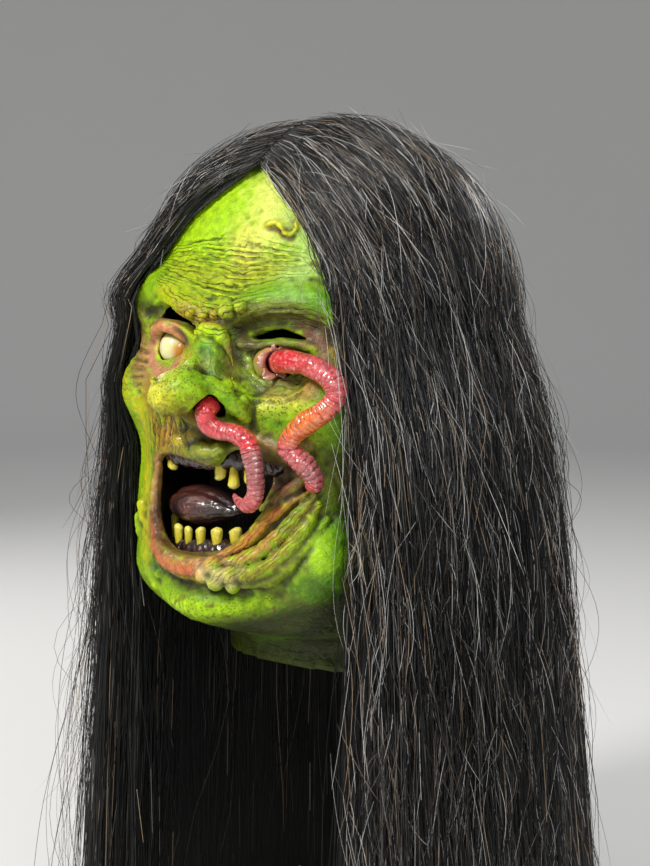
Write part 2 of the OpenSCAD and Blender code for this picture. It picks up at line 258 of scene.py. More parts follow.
def worm_material():
    """Glossy pink rubber; black wash sits in the ring grooves and wears off in places."""
    g = Graph("worm_rubber", {"Coat Weight": 0.85, "Coat Roughness": 0.06, "Specular IOR Level": 0.6,
                              "Subsurface Weight": 0.10, "Subsurface Scale": 0.003,
                              "Subsurface Radius": (1.0, 0.3, 0.2)})
    paint = g.attribute("paint", "Color")
    wash = g.attribute("wash")
    mottle = g.ramp(g.noise(330, 5, 0.65), 0.40, 0.62)
    colour = g.mix(g.math("MULTIPLY", mottle, 0.75), paint, (0.78, 0.22, 0.24, 1), "MULTIPLY")
    pale = g.ramp(g.noise(560, 4, 0.6), 0.55, 0.68)
    colour = g.mix(g.math("MULTIPLY", pale, 0.55), colour, (0.86, 0.52, 0.42, 1))
    number = g.math("ADD", g.attribute("ring_number"), g.ramp(g.noise(300, 3), 0, 1, -0.45, 0.45))
    away = g.math("ABSOLUTE", g.math("SUBTRACT", g.math("FRACT", number, 0.0), 0.5), 0.0)
    line = g.math("MULTIPLY", g.ramp(away, 0.36, 0.48), g.ramp(g.noise(230, 4, 0.6), 0.42, 0.54))
    stain = g.math("MULTIPLY", line, wash)
    g.set("Base Color", g.mix(g.math("MULTIPLY", stain, 0.92), colour, (0.035, 0.010, 0.018, 1)))
    g.set("Roughness", g.ramp(g.noise(420, 3), 0.3, 0.7, 0.14, 0.34))
    g.bump([(g.noise(700, 3), 0.35, 0.0005), (line, 0.6, -0.0005)])
    return g.mat


def tooth_material():
    """Old yellow resin teeth with brown roots and fine streaks."""
    g = Graph("old_tooth", {"Coat Weight": 0.35, "Coat Roughness": 0.15})
    paint = g.attribute("paint", "Color")
    stain = g.ramp(g.noise(420, 5, 0.7, (1, 1, 0.35)), 0.45, 0.7)
    g.set("Base Color", g.mix(g.math("MULTIPLY", stain, 0.6), paint, (0.30, 0.16, 0.02, 1)))
    g.set("Roughness", g.ramp(g.noise(500, 3), 0.3, 0.7, 0.22, 0.42))
    g.bump([(g.noise(600, 4, 0.6, (1, 1, 0.3)), 0.5, 0.0005)])
    return g.mat


def net_material():
    """Black cotton gauze: an open weave of crossing threads."""
    g = Graph("black_gauze", {"Roughness": 0.9, "Sheen Weight": 0.25})
    threads = 1900
    across = g.add("TexWave", {"Vector": g.where((1, 1, 0)), "Scale": threads / 20, "Distortion": 0.4},
                   wave_type="BANDS", bands_direction="X").outputs["Fac"]
    up = g.add("TexWave", {"Vector": g.where(), "Scale": threads / 20, "Distortion": 0.4},
               wave_type="BANDS", bands_direction="Z").outputs["Fac"]
    weave = g.math("MAXIMUM", across, up)
    g.set("Base Color", g.mix(weave, (0.002, 0.002, 0.002, 1), (0.022, 0.020, 0.020, 1)))
    g.bump([(weave, 0.7, 0.0004)])
    return g.mat


def strand_material(name, colour, rough):
    """One shade of wig fibre; shades vary from strand to strand, so each stays plain. Grey, silver and tan
    also serve as painted glints and sheen.
    """
    return Graph(name, {"Base Color": (*colour, 1), "Roughness": rough, "Specular IOR Level": 0.5,
                        "Anisotropic": 0.5}).mat


def hair_mass_material():
    """Dark bulk of the wig under the loose strands, streaked along the fall of the hair."""
    g = Graph("hair_mass", {"Specular IOR Level": 0.35, "Roughness": 0.5})
    fine = g.ramp(g.noise(900, 4, 0.7, (1, 1, 0.05)), 0.42, 0.72)
    broad = g.ramp(g.noise(160, 3, 0.6, (1, 1, 0.05)), 0.3, 0.7)
    streak = g.math("MULTIPLY", fine, broad)
    g.set("Base Color", g.mix(streak, (0.003, 0.003, 0.003, 1), (0.020, 0.018, 0.017, 1)))
    g.bump([(g.noise(1100, 3, 0.7, (1, 1, 0.04)), 0.9, 0.0012)])
    return g.mat


# ---------------------------------------------------------------- small mesh helpers
def mesh_object(name, verts_mm, faces, material, colours=None):
    """Smooth-shaded object from points in millimetres and quads, painted with a colour at each point."""
    verts = np.asarray(verts_mm, np.float32) * MM
    faces = np.asarray(faces, np.int32)
    corners = faces.shape[1]
    mesh = bpy.data.meshes.new(name)
    mesh.vertices.add(len(verts))
    mesh.vertices.foreach_set("co", verts.ravel())
    mesh.loops.add(faces.size)
    mesh.loops.foreach_set("vertex_index", faces.ravel())
    mesh.polygons.add(len(faces))
    mesh.polygons.foreach_set("loop_start", np.arange(0, faces.size, corners, dtype=np.int32))
    mesh.polygons.foreach_set("use_smooth", np.full(len(faces), True))
    mesh.update(calc_edges=True)
    mesh.validate()
    if colours is not None:
        set_paint(mesh, colours)
    obj = bpy.data.objects.new(name, mesh)
    bpy.context.scene.collection.objects.link(obj)
    for m in material if isinstance(material, list) else [material]:
        mesh.materials.append(m)
    return obj


def face_outward(obj):
    """Turns every face of a closed shell to look out."""
    shell = bmesh.new()
    shell.from_mesh(obj.data)
    bmesh.ops.recalc_face_normals(shell, faces=shell.faces)
    shell.to_mesh(obj.data)
    shell.free()


def set_fields(mesh, fields):
    """Stores one number at each point for every named field, for the materials to read."""
    for key, values in fields.items():
        layer = mesh.attributes.new(key, "FLOAT", "POINT")
        layer.data.foreach_set("value", np.asarray(values, np.float32))


def set_paint(mesh, colours):
    """Stores a linear colour at each point, for the materials to read."""
    layer = mesh.color_attributes.new("paint", "FLOAT_COLOR", "POINT")
    rgba = np.concatenate([np.clip(colours, 0, 1), np.ones((len(colours), 1))], axis=1)
    layer.data.foreach_set("color", rgba.astype(np.float32).ravel())


def lay(colour, paint, share):
    """Lays a paint over the colours, by a share at each point."""
    colour += (np.array(paint) - colour) * np.reshape(share, (-1, 1))


def between(share, a, b):
    """Paint part of the way from a to b, by a share at each point."""
    share = np.reshape(share, (-1, 1))
    return np.array(a) * (1 - share) + np.array(b) * share


def place(obj, body, slot, *nodes):
    """The piece rides on a body and stands for CAD nodes; slot is not used."""
    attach(obj, body)
    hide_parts(*nodes)


def smooth_line(points, per_span):
    """Catmull-Rom curve through the points, with per_span steps between each pair."""
    p = np.asarray(points, float)
    q = np.vstack([p[:1], p, p[-1:]])
    t = np.linspace(0, 1, per_span, endpoint=False)[:, None]
    spans = []
    for i in range(len(p) - 1):
        a, b, c, d = q[i], q[i + 1], q[i + 2], q[i + 3]
        spans.append(0.5 * (2 * b + (c - a) * t + (2 * a - 5 * b + 4 * c - d) * t ** 2
                            + (3 * b - a - 3 * c + d) * t ** 3))
    return np.vstack(spans + [p[-1:]])


def even_line(points, count):
    """The smooth curve through the points, as count points an even way apart."""
    fine = smooth_line(points, 24)
    along = np.concatenate([[0], np.cumsum(np.linalg.norm(np.diff(fine, axis=0), axis=1))])
    at = np.linspace(0, along[-1], count)
    return np.stack([np.interp(at, along, fine[:, k]) for k in range(3)], axis=1), along[-1]


def step(x, low, high):
    """0 below low, 1 above high and a smooth rise between."""
    t = np.clip((x - low) / (high - low), 0, 1)
    return t * t * (3 - 2 * t)


def waves(p, wavelength, seed, count=10):
    """Smooth random field at points p, about -1 to 1, made of a few crossed sine waves."""
    r = np.random.default_rng(seed)
    out = np.zeros(p.shape[:-1])
    for _ in range(count):
        k = r.normal(size=3)
        k *= 2 * math.pi / (wavelength * r.uniform(0.7, 1.4)) / np.linalg.norm(k)
        out += np.sin(p @ k + r.uniform(0, 2 * math.pi))
    return out / math.sqrt(count) * 0.8


def grid_quads(rows, cols, wrap):
    """Quads of a grid of points stored row by row; wrap joins the last column to the first."""
    i, j = np.meshgrid(np.arange(rows - 1), np.arange(cols if wrap else cols - 1), indexing="ij")
    k = (j + 1) % cols
    return np.stack([i * cols + j, i * cols + k, (i + 1) * cols + k, (i + 1) * cols + j], -1).reshape(-1, 4)


def tube(points, radii, sides, squash, ripple):
    """Points and quads of an open-ended tube along points, with a radius at each point.

    squash scales it one way across; ripple gives a share of the radius at a point and an angle.
    """
    p = np.asarray(points, float)
    ahead = np.gradient(p, axis=0)
    ahead /= np.linalg.norm(ahead, axis=1)[:, None]
    side = np.cross(ahead[0], (0.31, -0.87, 0.38))
    sides_of = []
    for a in ahead:
        side = side - a * (side @ a)
        side = side / np.linalg.norm(side)
        sides_of.append(side)
    across = np.array(sides_of)
    up = np.cross(ahead, across)
    a = np.linspace(0, 2 * math.pi, sides, endpoint=False)
    r = np.asarray(radii, float)[:, None] * ripple(np.arange(len(p))[:, None], a[None, :])
    rings = (p[:, None] + (r * np.cos(a))[..., None] * across[:, None]
             + (r * squash * np.sin(a))[..., None] * up[:, None])
    return rings.reshape(-1, 3), grid_quads(len(p), sides, True)


# ---------------------------------------------------------------- the head's plain shape, as in the CAD
# Height, front, half width and back of the casting
HEAD_ROWS = [
    (0, -34, 67, 100), (17, -40, 67, 99), (33, -84, 64, 100), (62, -98, 75, 103),
    (110, -93, 82, 105), (152, -92, 85, 108), (195, -86, 87, 108), (234, -75, 79, 99),
    (262, -60, 65, 83), (281, -40, 45, 61), (293, -17, 24, 35), (296, 3, 6, 15)]
# Lumps of the face: angle, height, angle spread, height spread, how far out
FACE_LUMPS = [
    (0, 156, 8, 14, 35), (0, 178, 6, 16, 12), (-11, 150, 5, 7, 7), (11, 150, 5, 7, 7),
    (-17, 199, 12, 8, 7), (17, 199, 12, 8, 7), (-42, 206, 11, 18, 12), (42, 206, 11, 18, 8),
    (-22, 180, 8, 9, -9), (22, 178, 8, 9, -9),
    (-42, 154, 15, 24, 14), (42, 154, 14, 24, 11), (-42, 95, 16, 30, 8),
    (0, 124, 16, 9, 7), (3, 66, 20, 9, 9), (0, 45, 17, 13, 17),
    (-38, 52, 14, 20, 10), (42, 66, 15, 18, 9), (66, 26, 30, 15, -10), (36, 17, 20, 11, -5)]
HEAD_CURVE = smooth_line(HEAD_ROWS, 40)
CROWN_TOP = 296


def head_row(z):
    """Front, half width and back of the head at heights z."""
    return [np.interp(z, HEAD_CURVE[:, 0], HEAD_CURVE[:, k]) for k in (1, 2, 3)]


def oval(angle, half_w, half_d):
    """Radius of a squarish oval at angles in degrees from -Y, squarer in front than behind."""
    a = np.radians(angle)
    n = np.where(np.cos(a) > 0, 2.9, 2.2)
    return ((np.abs(np.sin(a)) / half_w) ** n + (np.abs(np.cos(a)) / half_d) ** n) ** (-1 / n)


def head_radius(angle, z):
    """Radius of the head about its ring's centre at angles in degrees, and the centre's Y."""
    front, half_w, back = head_row(z)
    radius = oval(angle, half_w, (back - front) / 2)
    turned = (angle + 180) % 360 - 180
    for at, height, spread, rise, out in FACE_LUMPS:
        radius = radius + out * np.exp(-((turned - at) / spread) ** 2 - ((z - height) / rise) ** 2)
    return radius, (front + back) / 2


# ---------------------------------------------------------------- the sculpted skin
def smooth_min(a, b, k):
    """The smaller of two distances, blended over k millimetres where they are close."""
    h = np.clip(0.5 + 0.5 * (b - a) / k, 0, 1)
    return b + (a - b) * h - k * h * (1 - h)


class Sculpt:
    """Signed distance on a grid in millimetres, worked on a block at a time like clay."""

    def __init__(self, xs, ys, zs):
        self.axes = [np.asarray(v, np.float32) for v in (xs, ys, zs)]
        self.d = None

    def grids(self, cut=(slice(None),) * 3):
        """The X, Y and Z of a block's points, shaped so that they combine into the block."""
        shapes = [(-1, 1, 1), (1, -1, 1), (1, 1, -1)]
        return [v[c].reshape(s) for v, c, s in zip(self.axes, cut, shapes)]

    def block(self, low, high):
        """The grid's block between two corners, and its points."""
        cut = []
        for v, lo, hi in zip(self.axes, low, high):
            i, j = np.searchsorted(v, [lo, hi])
            cut.append(slice(max(int(i) - 1, 0), min(int(j) + 1, len(v))))
        return tuple(cut), self.grids(cut)

    def near_line(self, points, radii, reach):
        """Block round a polyline and the distance there to its tapered capsules."""
        p = np.asarray(points, float)
        stops = np.atleast_1d(np.asarray(radii, float))
        r = np.interp(np.linspace(0, 1, len(p)), np.linspace(0, 1, len(stops)), stops)
        margin = r.max() + reach
        cut, (x, y, z) = self.block(p.min(0) - margin, p.max(0) + margin)
        best = None
        pairs = zip(p[:-1], p[1:], r[:-1], r[1:]) if len(p) > 1 else [(p[0], p[0] + 1e-3, r[0], r[0])]
        for a, b, ra, rb in pairs:
            v = b - a
            t = np.clip(((x - a[0]) * v[0] + (y - a[1]) * v[1] + (z - a[2]) * v[2]) / (v @ v), 0, 1)
            gap = np.sqrt((x - a[0] - t * v[0]) ** 2 + (y - a[1] - t * v[1]) ** 2
                          + (z - a[2] - t * v[2]) ** 2) - (ra + (rb - ra) * t)
            best = gap if best is None else np.minimum(best, gap)
        return cut, best

    def roll(self, points, radii, k=2.0):
        """Adds a roll of clay along the points."""
        cut, gap = self.near_line(points, radii, 3 * k)
        self.d[cut] = smooth_min(self.d[cut], gap, k)

    def carve(self, points, radii, k=1.5):
        """Takes a tapered channel out along the points."""
        cut, gap = self.near_line(points, radii, 3 * k)
        self.d[cut] = -smooth_min(-self.d[cut], gap, k)

    def swell(self, points, width, height):
        """Raises the surface along the points by height, or presses it in where that is negative."""
        cut, gap = self.near_line(points, 0, 2.6 * width)
        self.d[cut] -= height * np.exp(-(gap / width) ** 2)

    def blob(self, centre, radii, k=2.0):
        """Adds an ellipsoid of clay."""
        c, r = np.asarray(centre, float), np.asarray(radii, float)
        cut, (x, y, z) = self.block(c - r - 3 * k, c + r + 3 * k)
        gap = np.sqrt(((x - c[0]) / r[0]) ** 2 + ((y - c[1]) / r[1]) ** 2 + ((z - c[2]) / r[2]) ** 2)
        self.d[cut] = smooth_min(self.d[cut], (gap - 1) * r.min(), k)

    def surface(self):
        """Surface nets: one point in each cell that the surface crosses, and quads between them."""
        d = self.d
        inside = d < 0
        n = [s - 1 for s in d.shape]
        corners = [(i, j, k) for i in (0, 1) for j in (0, 1) for k in (0, 1)]
        total = np.zeros(n, np.int8)
        for i, j, k in corners:
            total += inside[i:i + n[0], j:j + n[1], k:k + n[2]]
        cells = np.argwhere((total > 0) & (total < 8))
        number = np.full(n, -1, np.int64)
        number[tuple(cells.T)] = np.arange(len(cells))
        value = {c: d[tuple((cells + c).T)] for c in corners}
        spot = {c: np.stack([self.axes[m][cells[:, m] + c[m]] for m in range(3)], 1) for c in corners}
        place_sum = np.zeros((len(cells), 3))
        count = np.zeros(len(cells))
        for a in corners:
            for m in range(3):
                if a[m]:
                    continue
                b = tuple(1 if q == m else a[q] for q in range(3))
                va, vb = value[a], value[b]
                crossed = (va < 0) != (vb < 0)
                t = np.where(crossed, va / np.where(crossed, va - vb, 1), 0)[:, None]
                place_sum += np.where(crossed[:, None], spot[a] + t * (spot[b] - spot[a]), 0)
                count += crossed
        verts = place_sum / count[:, None]
        quads = []
        for m in range(3):
            u, v = (m + 1) % 3, (m + 2) % 3
            first = [slice(None)] * 3
            last = [slice(None)] * 3
            first[m], last[m] = slice(0, n[m]), slice(1, n[m] + 1)
            crossing = inside[tuple(first)] != inside[tuple(last)]
            edges = np.argwhere(crossing)
            ok = (edges[:, u] > 0) & (edges[:, u] < n[u]) & (edges[:, v] > 0) & (edges[:, v] < n[v])
            edges = edges[ok]
            around = []
            for du, dv in ((1, 1), (0, 1), (0, 0), (1, 0)):
                c = edges.copy()
                c[:, u] -= du
                c[:, v] -= dv
                around.append(number[tuple(c.T)])
            quad = np.stack(around, 1)
            starts_inside = inside[tuple(edges.T)]
            quad[~starts_inside] = quad[~starts_inside][:, ::-1]
            quads.append(quad)
        return verts, np.vstack(quads)


def spans(*parts):
    """Grid lines over several stretches, each (start, stop, step)."""
    lines = [np.arange(a, b, s) for a, b, s in parts]
    return np.concatenate(lines)


def head_sculpt():
    """The head's plain shape as a signed distance, on a grid that is finest over the face."""
    h = 0.95
    s = Sculpt(spans((-97, 98, h)), spans((-140, -36, h), (-36, 114, 3 * h)),
               spans((-3, 22, 1.6 * h), (22, 196, h), (196, 240, 0.66 * h), (240, 264, h),
                     (264, 301, 2 * h)))
    x, y, z = s.grids()
    front, half_w, back = (v.astype(np.float32) for v in head_row(z))
    over = np.clip(z - CROWN_TOP, 0, None)
    centre, half_d = (front + back) / 2, (back - front) / 2
    # each level is a squarish oval; the distance along its radius is close enough once it is scaled
    dy = centre - y
    r = np.sqrt(x * x + dy * dy)
    n = np.where(dy > 0, 2.9, 2.2).astype(np.float32)
    q = ((np.abs(x) / half_w) ** n + (np.abs(dy) / half_d) ** n) ** (1 / n)
    d = r - r / np.maximum(q, 1e-4) + 3 * over
    angle = np.degrees(np.arctan2(x, dy)).astype(np.float32)
    for at, height, spread, rise, out in FACE_LUMPS:
        i, j = np.searchsorted(s.axes[2], [height - 2.6 * rise, height + 2.6 * rise])
        bell = np.exp(-((angle[..., i:j] - at) / spread) ** 2 - ((z[..., i:j] - height) / rise) ** 2)
        d[..., i:j] -= out * bell
    slope = np.sqrt(sum(g * g for g in np.gradient(d, *s.axes)))
    s.d = (d / np.clip(slope, 0.8, 3)).astype(np.float32)
    return s


MILKY_EYE = (-42, -74, 178)
BURST_EYE = (28, -77, 172.5)
EYE_R = 10


class FaceMap:
    """Depth of the plain face at each place seen from the front."""

    def __init__(self, s):
        self.x, y, self.z = s.axes
        hit = (s.d < 0).argmax(axis=1)
        self.y = y[hit]

    def __call__(self, x, z, lift=0.0):
        """The place on the face at (x, z), lifted forward off it."""
        i = int(np.clip(np.searchsorted(self.x, x), 0, len(self.x) - 1))
        k = int(np.clip(np.searchsorted(self.z, z), 0, len(self.z) - 1))
        return (x, float(self.y[i, k]) - lift, z)

    def line(self, points, lift=0.0, per_span=4):
        """Places on the face along a smooth line through points given as (x, z)."""
        flat = smooth_line([(x, 0, z) for x, z in points], per_span)
        return [self(p[0], p[2], lift) for p in flat]


# In the sculpt functions s is the clay and at finds a place on the face from (x, z), as seen from
# the front. A swell's or a roll's numbers after its places are its width or radii and its height.
def sculpt_forehead(s, at):
    """Furrows over the brow, a few below them, the squiggle and three nicks at the hairline."""
    wiggle = np.random.default_rng(5)
    low = [(-53, 219), (-34, 213), (-11, 208), (9, 205), (27, 209), (46, 213)]
    high = [(-36, 234), (-20, 236), (-4, 236), (13, 234), (27, 232), (42, 228)]
    lines = 11
    for i in range(lines):
        t = i / (lines - 1)
        start, stop = wiggle.integers(0, 2), 6 - wiggle.integers(0, 2)
        points = [(a[0] + (b[0] - a[0]) * t, a[1] + (b[1] - a[1]) * t + wiggle.uniform(-0.8, 0.8))
                  for a, b in zip(low, high)][start:stop]
        s.swell(at.line(points, 0, 6), 0.85, -wiggle.uniform(0.6, 1.15))
        s.swell(at.line([(x, z + 1.4) for x, z in points], 0, 4), 1.1, 0.35)
    for i in range(5):
        points = [(-20 + 3 * i, 202 + i), (-8, 200.5 + 1.2 * i), (2, 199 + 1.2 * i), (12, 201.5 + 1.1 * i)]
        s.swell(at.line(points, 0, 5), 0.8, -0.8)
    squiggle = [(20, 243), (24, 244), (28, 242), (31, 239), (35, 238), (37, 240), (36, 244), (37, 247),
                (41, 245)]
    s.roll(at.line(squiggle, 0.6), 1.5, 0.8)
    s.swell(at.line([(x, z - 2.6) for x, z in squiggle]), 1.2, -0.6)
    for points in ([(50, 223), (60, 221)], [(52, 215), (64, 212)], [(-64, 236), (-58, 246)]):
        s.swell(at.line(points), 1.6, -1.2)
        s.swell(at.line([(x, z + 2.5) for x, z in points]), 1.5, 0.9)


def sculpt_brows(s, at):
    """The two brows, the hollow under the near one with its creases, and the warts."""
    s.swell(at.line([(-60, 214), (-45, 212), (-33, 207), (-22, 201), (-12, 195), (-4, 190)]), 6.5, 3.4)
    s.roll(at.line([(-58, 207), (-46, 209), (-34, 205.5), (-20, 198.5), (-8, 191)], -1.5), 4.2, 3)
    s.carve(at.line([(-60, 196), (-46, 199), (-34, 198)], -1), [2.5, 4, 3], 3)
    s.swell(at.line([(6, 195), (16, 201), (30, 207), (46, 207), (61, 202), (71, 193)]), 5.5, 4.2)
    s.swell(at.line([(15, 187), (26, 192), (40, 193.5), (54, 191), (64, 185)]), 5.0, -4.5)
    for drop, height in ((0, 1.0), (3.4, 0.9), (6.6, 0.8)):
        points = [(14, 193.5 - drop * 0.6), (26, 199 - drop), (38, 202 - drop), (50, 201.5 - drop),
                  (62, 196 - drop), (69, 188 - drop)]
        s.swell(at.line(points), 1.3, height)
        s.swell(at.line([(x, z - 1.8) for x, z in points]), 1.0, -0.9)
    for x, z, _, r in WARTS[:5]:
        s.swell([at(x, z)], r + 2.5, -1.2)
        s.roll([at(x, z, 0.6 * r + 2)], 1.15 * r, 0.7)


def sculpt_eyes(s, at):
    """Both sockets with their lids, and the rings of loose skin round the burst eye."""
    x, y, z = MILKY_EYE
    s.roll([(-56, -75, 181), (-52, -81, 187.5), (-44, -84, 190.2), (-36, -83.5, 188.5), (-30, -80, 183)],
           [2.4, 3.0, 3.2, 2.8, 1.8], 1.5)
    s.roll([(-56, -75, 175), (-51, -80, 168.5), (-44, -83, 165.8), (-36, -83, 166.5), (-30, -79, 172)],
           [2.2, 2.4, 2.4, 2.4, 1.8], 1.5)
    s.swell([(-54, -80, 164), (-44, -87, 161), (-33, -89, 163)], 3.0, 1.6)
    s.carve([(x, y - 1, z)], EYE_R + 0.3, 0.8)
    s.carve([(x, y + 4, z)], EYE_R + 0.3, 0.8)
    s.swell(at.line([(18, 177), (22, 168), (32, 163), (46, 163)]), 8.5, -6.5)
    for ring, (far, height) in enumerate(((13.5, 2.0), (18, 1.7), (22.5, 1.5), (27, 1.0))):
        angles = np.radians(np.linspace(172 + 3 * ring, 322, 12))
        points = [(34 + 1.18 * far * math.cos(a), 178 + 0.86 * far * math.sin(a)) for a in angles]
        s.swell(at.line(points, 0, 2), 1.5, height)
        s.swell(at.line([(px, pz - 2.0) for px, pz in points], 0, 2), 1.1, -1.0)
    s.roll(at.line([(16, 182), (26, 181), (37, 183), (47, 183), (57, 180)], 0.5),
           [1.5, 2.6, 3.0, 3.0, 1.8], 1.5)
    s.swell([at(59, 187), at(65, 180), at(62, 173)], 4.0, 2.6)
    x, y, z = BURST_EYE
    s.carve([(x, y - 1, z), (x + 8, y - 3, z + 0.5)], [EYE_R + 0.2, 8.5], 2.0)
    s.carve([(x, y + 4, z)], EYE_R + 0.2, 1.0)
    s.roll([(20, -80.5, 180), (17, -81.5, 173), (19.5, -82.5, 165), (27, -82.5, 161.5), (36, -81, 162)],
           [1.8, 2.5, 2.7, 2.5, 1.6], 1.5)


def sculpt_nose(s, at):
    """The lumpy hooked tip, the knot on the bridge, both wings, the nostrils, drips and warts."""
    s.blob((1, -116, 159), (16, 14, 12), 5)
    s.blob((-4, -121, 156), (10, 11, 9), 4)
    s.roll(at.line([(-9, 185), (-2, 189), (6, 188), (12, 181), (16, 172), (20, 164)], 1.6),
           [2.8, 4.0, 4.2, 4.0, 3.6, 2.6], 0.8)
    s.swell([at(0, 179), at(5, 172), at(9, 166)], 3.0, -3.0)
    s.swell([at(15, 188), at(20, 178), at(25, 168)], 2.0, -2.0)
    s.roll([(15, -110, 163), (21, -106, 157), (25, -101, 150), (27, -98, 145)], [4, 4.6, 4.4, 3.2], 3)
    s.roll([(-15, -112, 160), (-20, -107, 153), (-18, -108, 147)], [4, 4.6, 3], 3)
    s.carve([(12, -99, 152), (12, -108, 151), (13, -112, 150), (13, -112, 145)], [6.4, 7.8, 7.8, 7.8], 2)
    s.carve([(22, -98, 144), (22, -106, 142)], [3, 4], 1.5)
    s.carve([(-8, -112, 144), (-2, -118, 143)], [4, 5], 3)
    for x, y, z, r in ((-16, -116, 150, 2.2), (-11, -121, 149, 2.4), (-5, -124, 148, 2.0),
                       (3, -122, 148, 1.8)):
        s.roll([(x, y, z), (x - 1, y + 1, z - 4), (x - 1.5, y + 2, z - 7.5)], [r, r * 0.7, 0.5], 1.5)
    for x, y, z, r in ((4, -113, 171.5, 4.0), (20, -103, 161, 4.4), (27, -98, 155, 3.2),
                       (-8, -128, 165, 1.6)):
        s.roll([(x, y, z)], r, 1.5)
    s.roll([(19, -98, 165), (24, -95, 163)], [2.5, 1.5], 2)


def sculpt_cheeks(s, at):
    """Cheekbones, the fold beside the nose, creases of the far cheek and lip, and two warts."""
    s.carve(at.line([(23, 166), (29, 158), (30, 149), (27, 141)], 1.5), [1.2, 2.4, 2.4, 1.5], 3)
    s.swell(at.line([(31, 152), (42, 155), (54, 154), (66, 148)]), 9, 2.5)
    s.roll(at.line([(25, 136), (33, 131), (43, 129), (53, 130), (62, 135)], -1.8), [2.5, 4, 4.2, 4, 2.5], 3)
    s.swell(at.line([(-74, 164), (-70, 154), (-62, 147)]), 8, 2.4)
    for i in range(6):
        s.swell(at.line([(-78, 178 - 5.5 * i), (-66, 176 - 5 * i), (-56, 174.5 - 4 * i)]), 1.0, -1.0)
    for i in range(7):
        x = -47 + 4.6 * i
        s.swell(at.line([(x * 0.85 - 2, 150 - 0.4 * abs(i - 3)), (x, 136), (x - 1, 123)]), 1.2, 1.25)
        s.swell(at.line([(x * 0.85 + 0.3, 149), (x + 2.3, 135), (x + 1.3, 124)]), 0.9, -0.9)
    s.roll([at(-57, 92, 0), at(-56, 85, 0)], [3, 2.6], 2.5)
    s.roll([at(-63, 84, 0), at(-61, 76, 0)], [3, 2.4], 2.5)
    for i in range(9):
        a = 0.7 * i
        s.swell(at.line([(58 + 2.2 * i, 128 - 4 * a), (66 + i, 108 - 3 * a), (64 + i, 92 - 2 * a)]), 1.1,
                0.8 if i % 2 else -0.8)


def sculpt_mouth(s, at):
    """Lips, the brown inner cheek, the hanging folds of the torn cheek, and the opening."""
    s.roll(at.line([(-45, 118), (-35, 124), (-20, 124.5), (-6, 123), (5, 122), (10, 124)], -0.5),
           [2.0, 2.6, 3.0, 3.2, 3.2, 2.2], 2)
    s.blob(at(-19, 130, 1), (7, 4.5, 4.5), 3)
    s.blob(at(1, 127, 2.5), (9, 5.5, 5.0), 3)
    s.blob(at(11, 127, 2), (5, 4.5, 4.5), 3)
    s.blob(at(-7, 134, 0), (8, 4, 4), 3)
    s.carve(at.line([(30, 118), (38, 115), (46, 113), (52, 119)], 3.0), [7, 9, 9, 5], 4)
    outline = [(-43, 116), (-38, 120.5), (-25, 122), (-8, 120), (4, 118), (9, 121), (15, 127), (24, 129),
               (31, 126), (33, 112), (34, 98), (29, 86), (14, 77), (-6, 73), (-24, 73), (-35, 78),
               (-41, 88), (-43, 101)]
    cut_outline(s, outline, (-134, -66))
    s.carve([(47, -92, 125), (48, -82, 125.5)], [2.6, 3.4], 1.2)
    s.roll([(31, -88, 98), (40, -88, 104), (50, -86, 111), (56, -83, 117)], [2.6, 3.4, 3.4, 2.6], 2)
    s.roll(at.line([(-43, 114), (-45, 104), (-44, 91), (-40, 80), (-33, 73)], 0),
           [2.2, 2.6, 3.0, 3.8, 4.4], 2)
    s.roll(at.line([(-34, 72), (-22, 68), (-8, 66.5), (6, 67.5), (14, 70)], 0.5),
           [5.0, 6.0, 6.2, 5.6, 4.2], 2.5)
    s.swell(at.line([(-34, 77), (-20, 73.5), (-6, 73), (8, 74)], 2), 1.2, -0.8)
    for i in range(14):
        x = -34 + 3.4 * i
        s.swell([at(x, 71 - 0.1 * i, 5), at(x + 0.6, 62, 4)], 0.8, -0.8)
    folds = [
        ([(13, 72), (22, 77), (30, 85), (36, 94), (44, 101), (53, 107), (57, 112)],
         [3, 4.0, 4.2, 4.2, 4, 3.6, 2.4], 0),
        ([(18, 70), (27, 72), (37, 78), (45, 87), (51, 96), (57, 106)],
         [3.6, 4.4, 4.6, 4.6, 4.2, 2.6], 1.5),
        ([(22, 66), (32, 66), (42, 70), (49, 78), (55, 89), (59, 102)], [4, 4.8, 5.0, 4.8, 4.2, 2.4], 1.5),
        ([(30, 61), (42, 63), (51, 71), (57, 81), (62, 94)], [2.5, 3.6, 3.8, 3.4, 2.0], 0)]
    for points, radii, lift in folds:
        s.roll(at.line(points, lift, 1), radii, 0.8)
    for points, radii, lift in folds[:3]:
        s.swell(at.line([(x + 0.6, z + 1.2) for x, z in points], lift + 3), 0.9, -0.9)
        s.swell(at.line([(x - 2.4, z + 3.6) for x, z in points], lift), 1.2, -1.6)
    for x, z, r in ((15, 69, 5.6), (11, 65, 4.2), (18, 62, 4.8), (25, 66, 4.6), (26, 60, 3.8),
                    (20, 66, 4.0)):
        s.roll([at(x, z, 5.0)], r, 1.6)


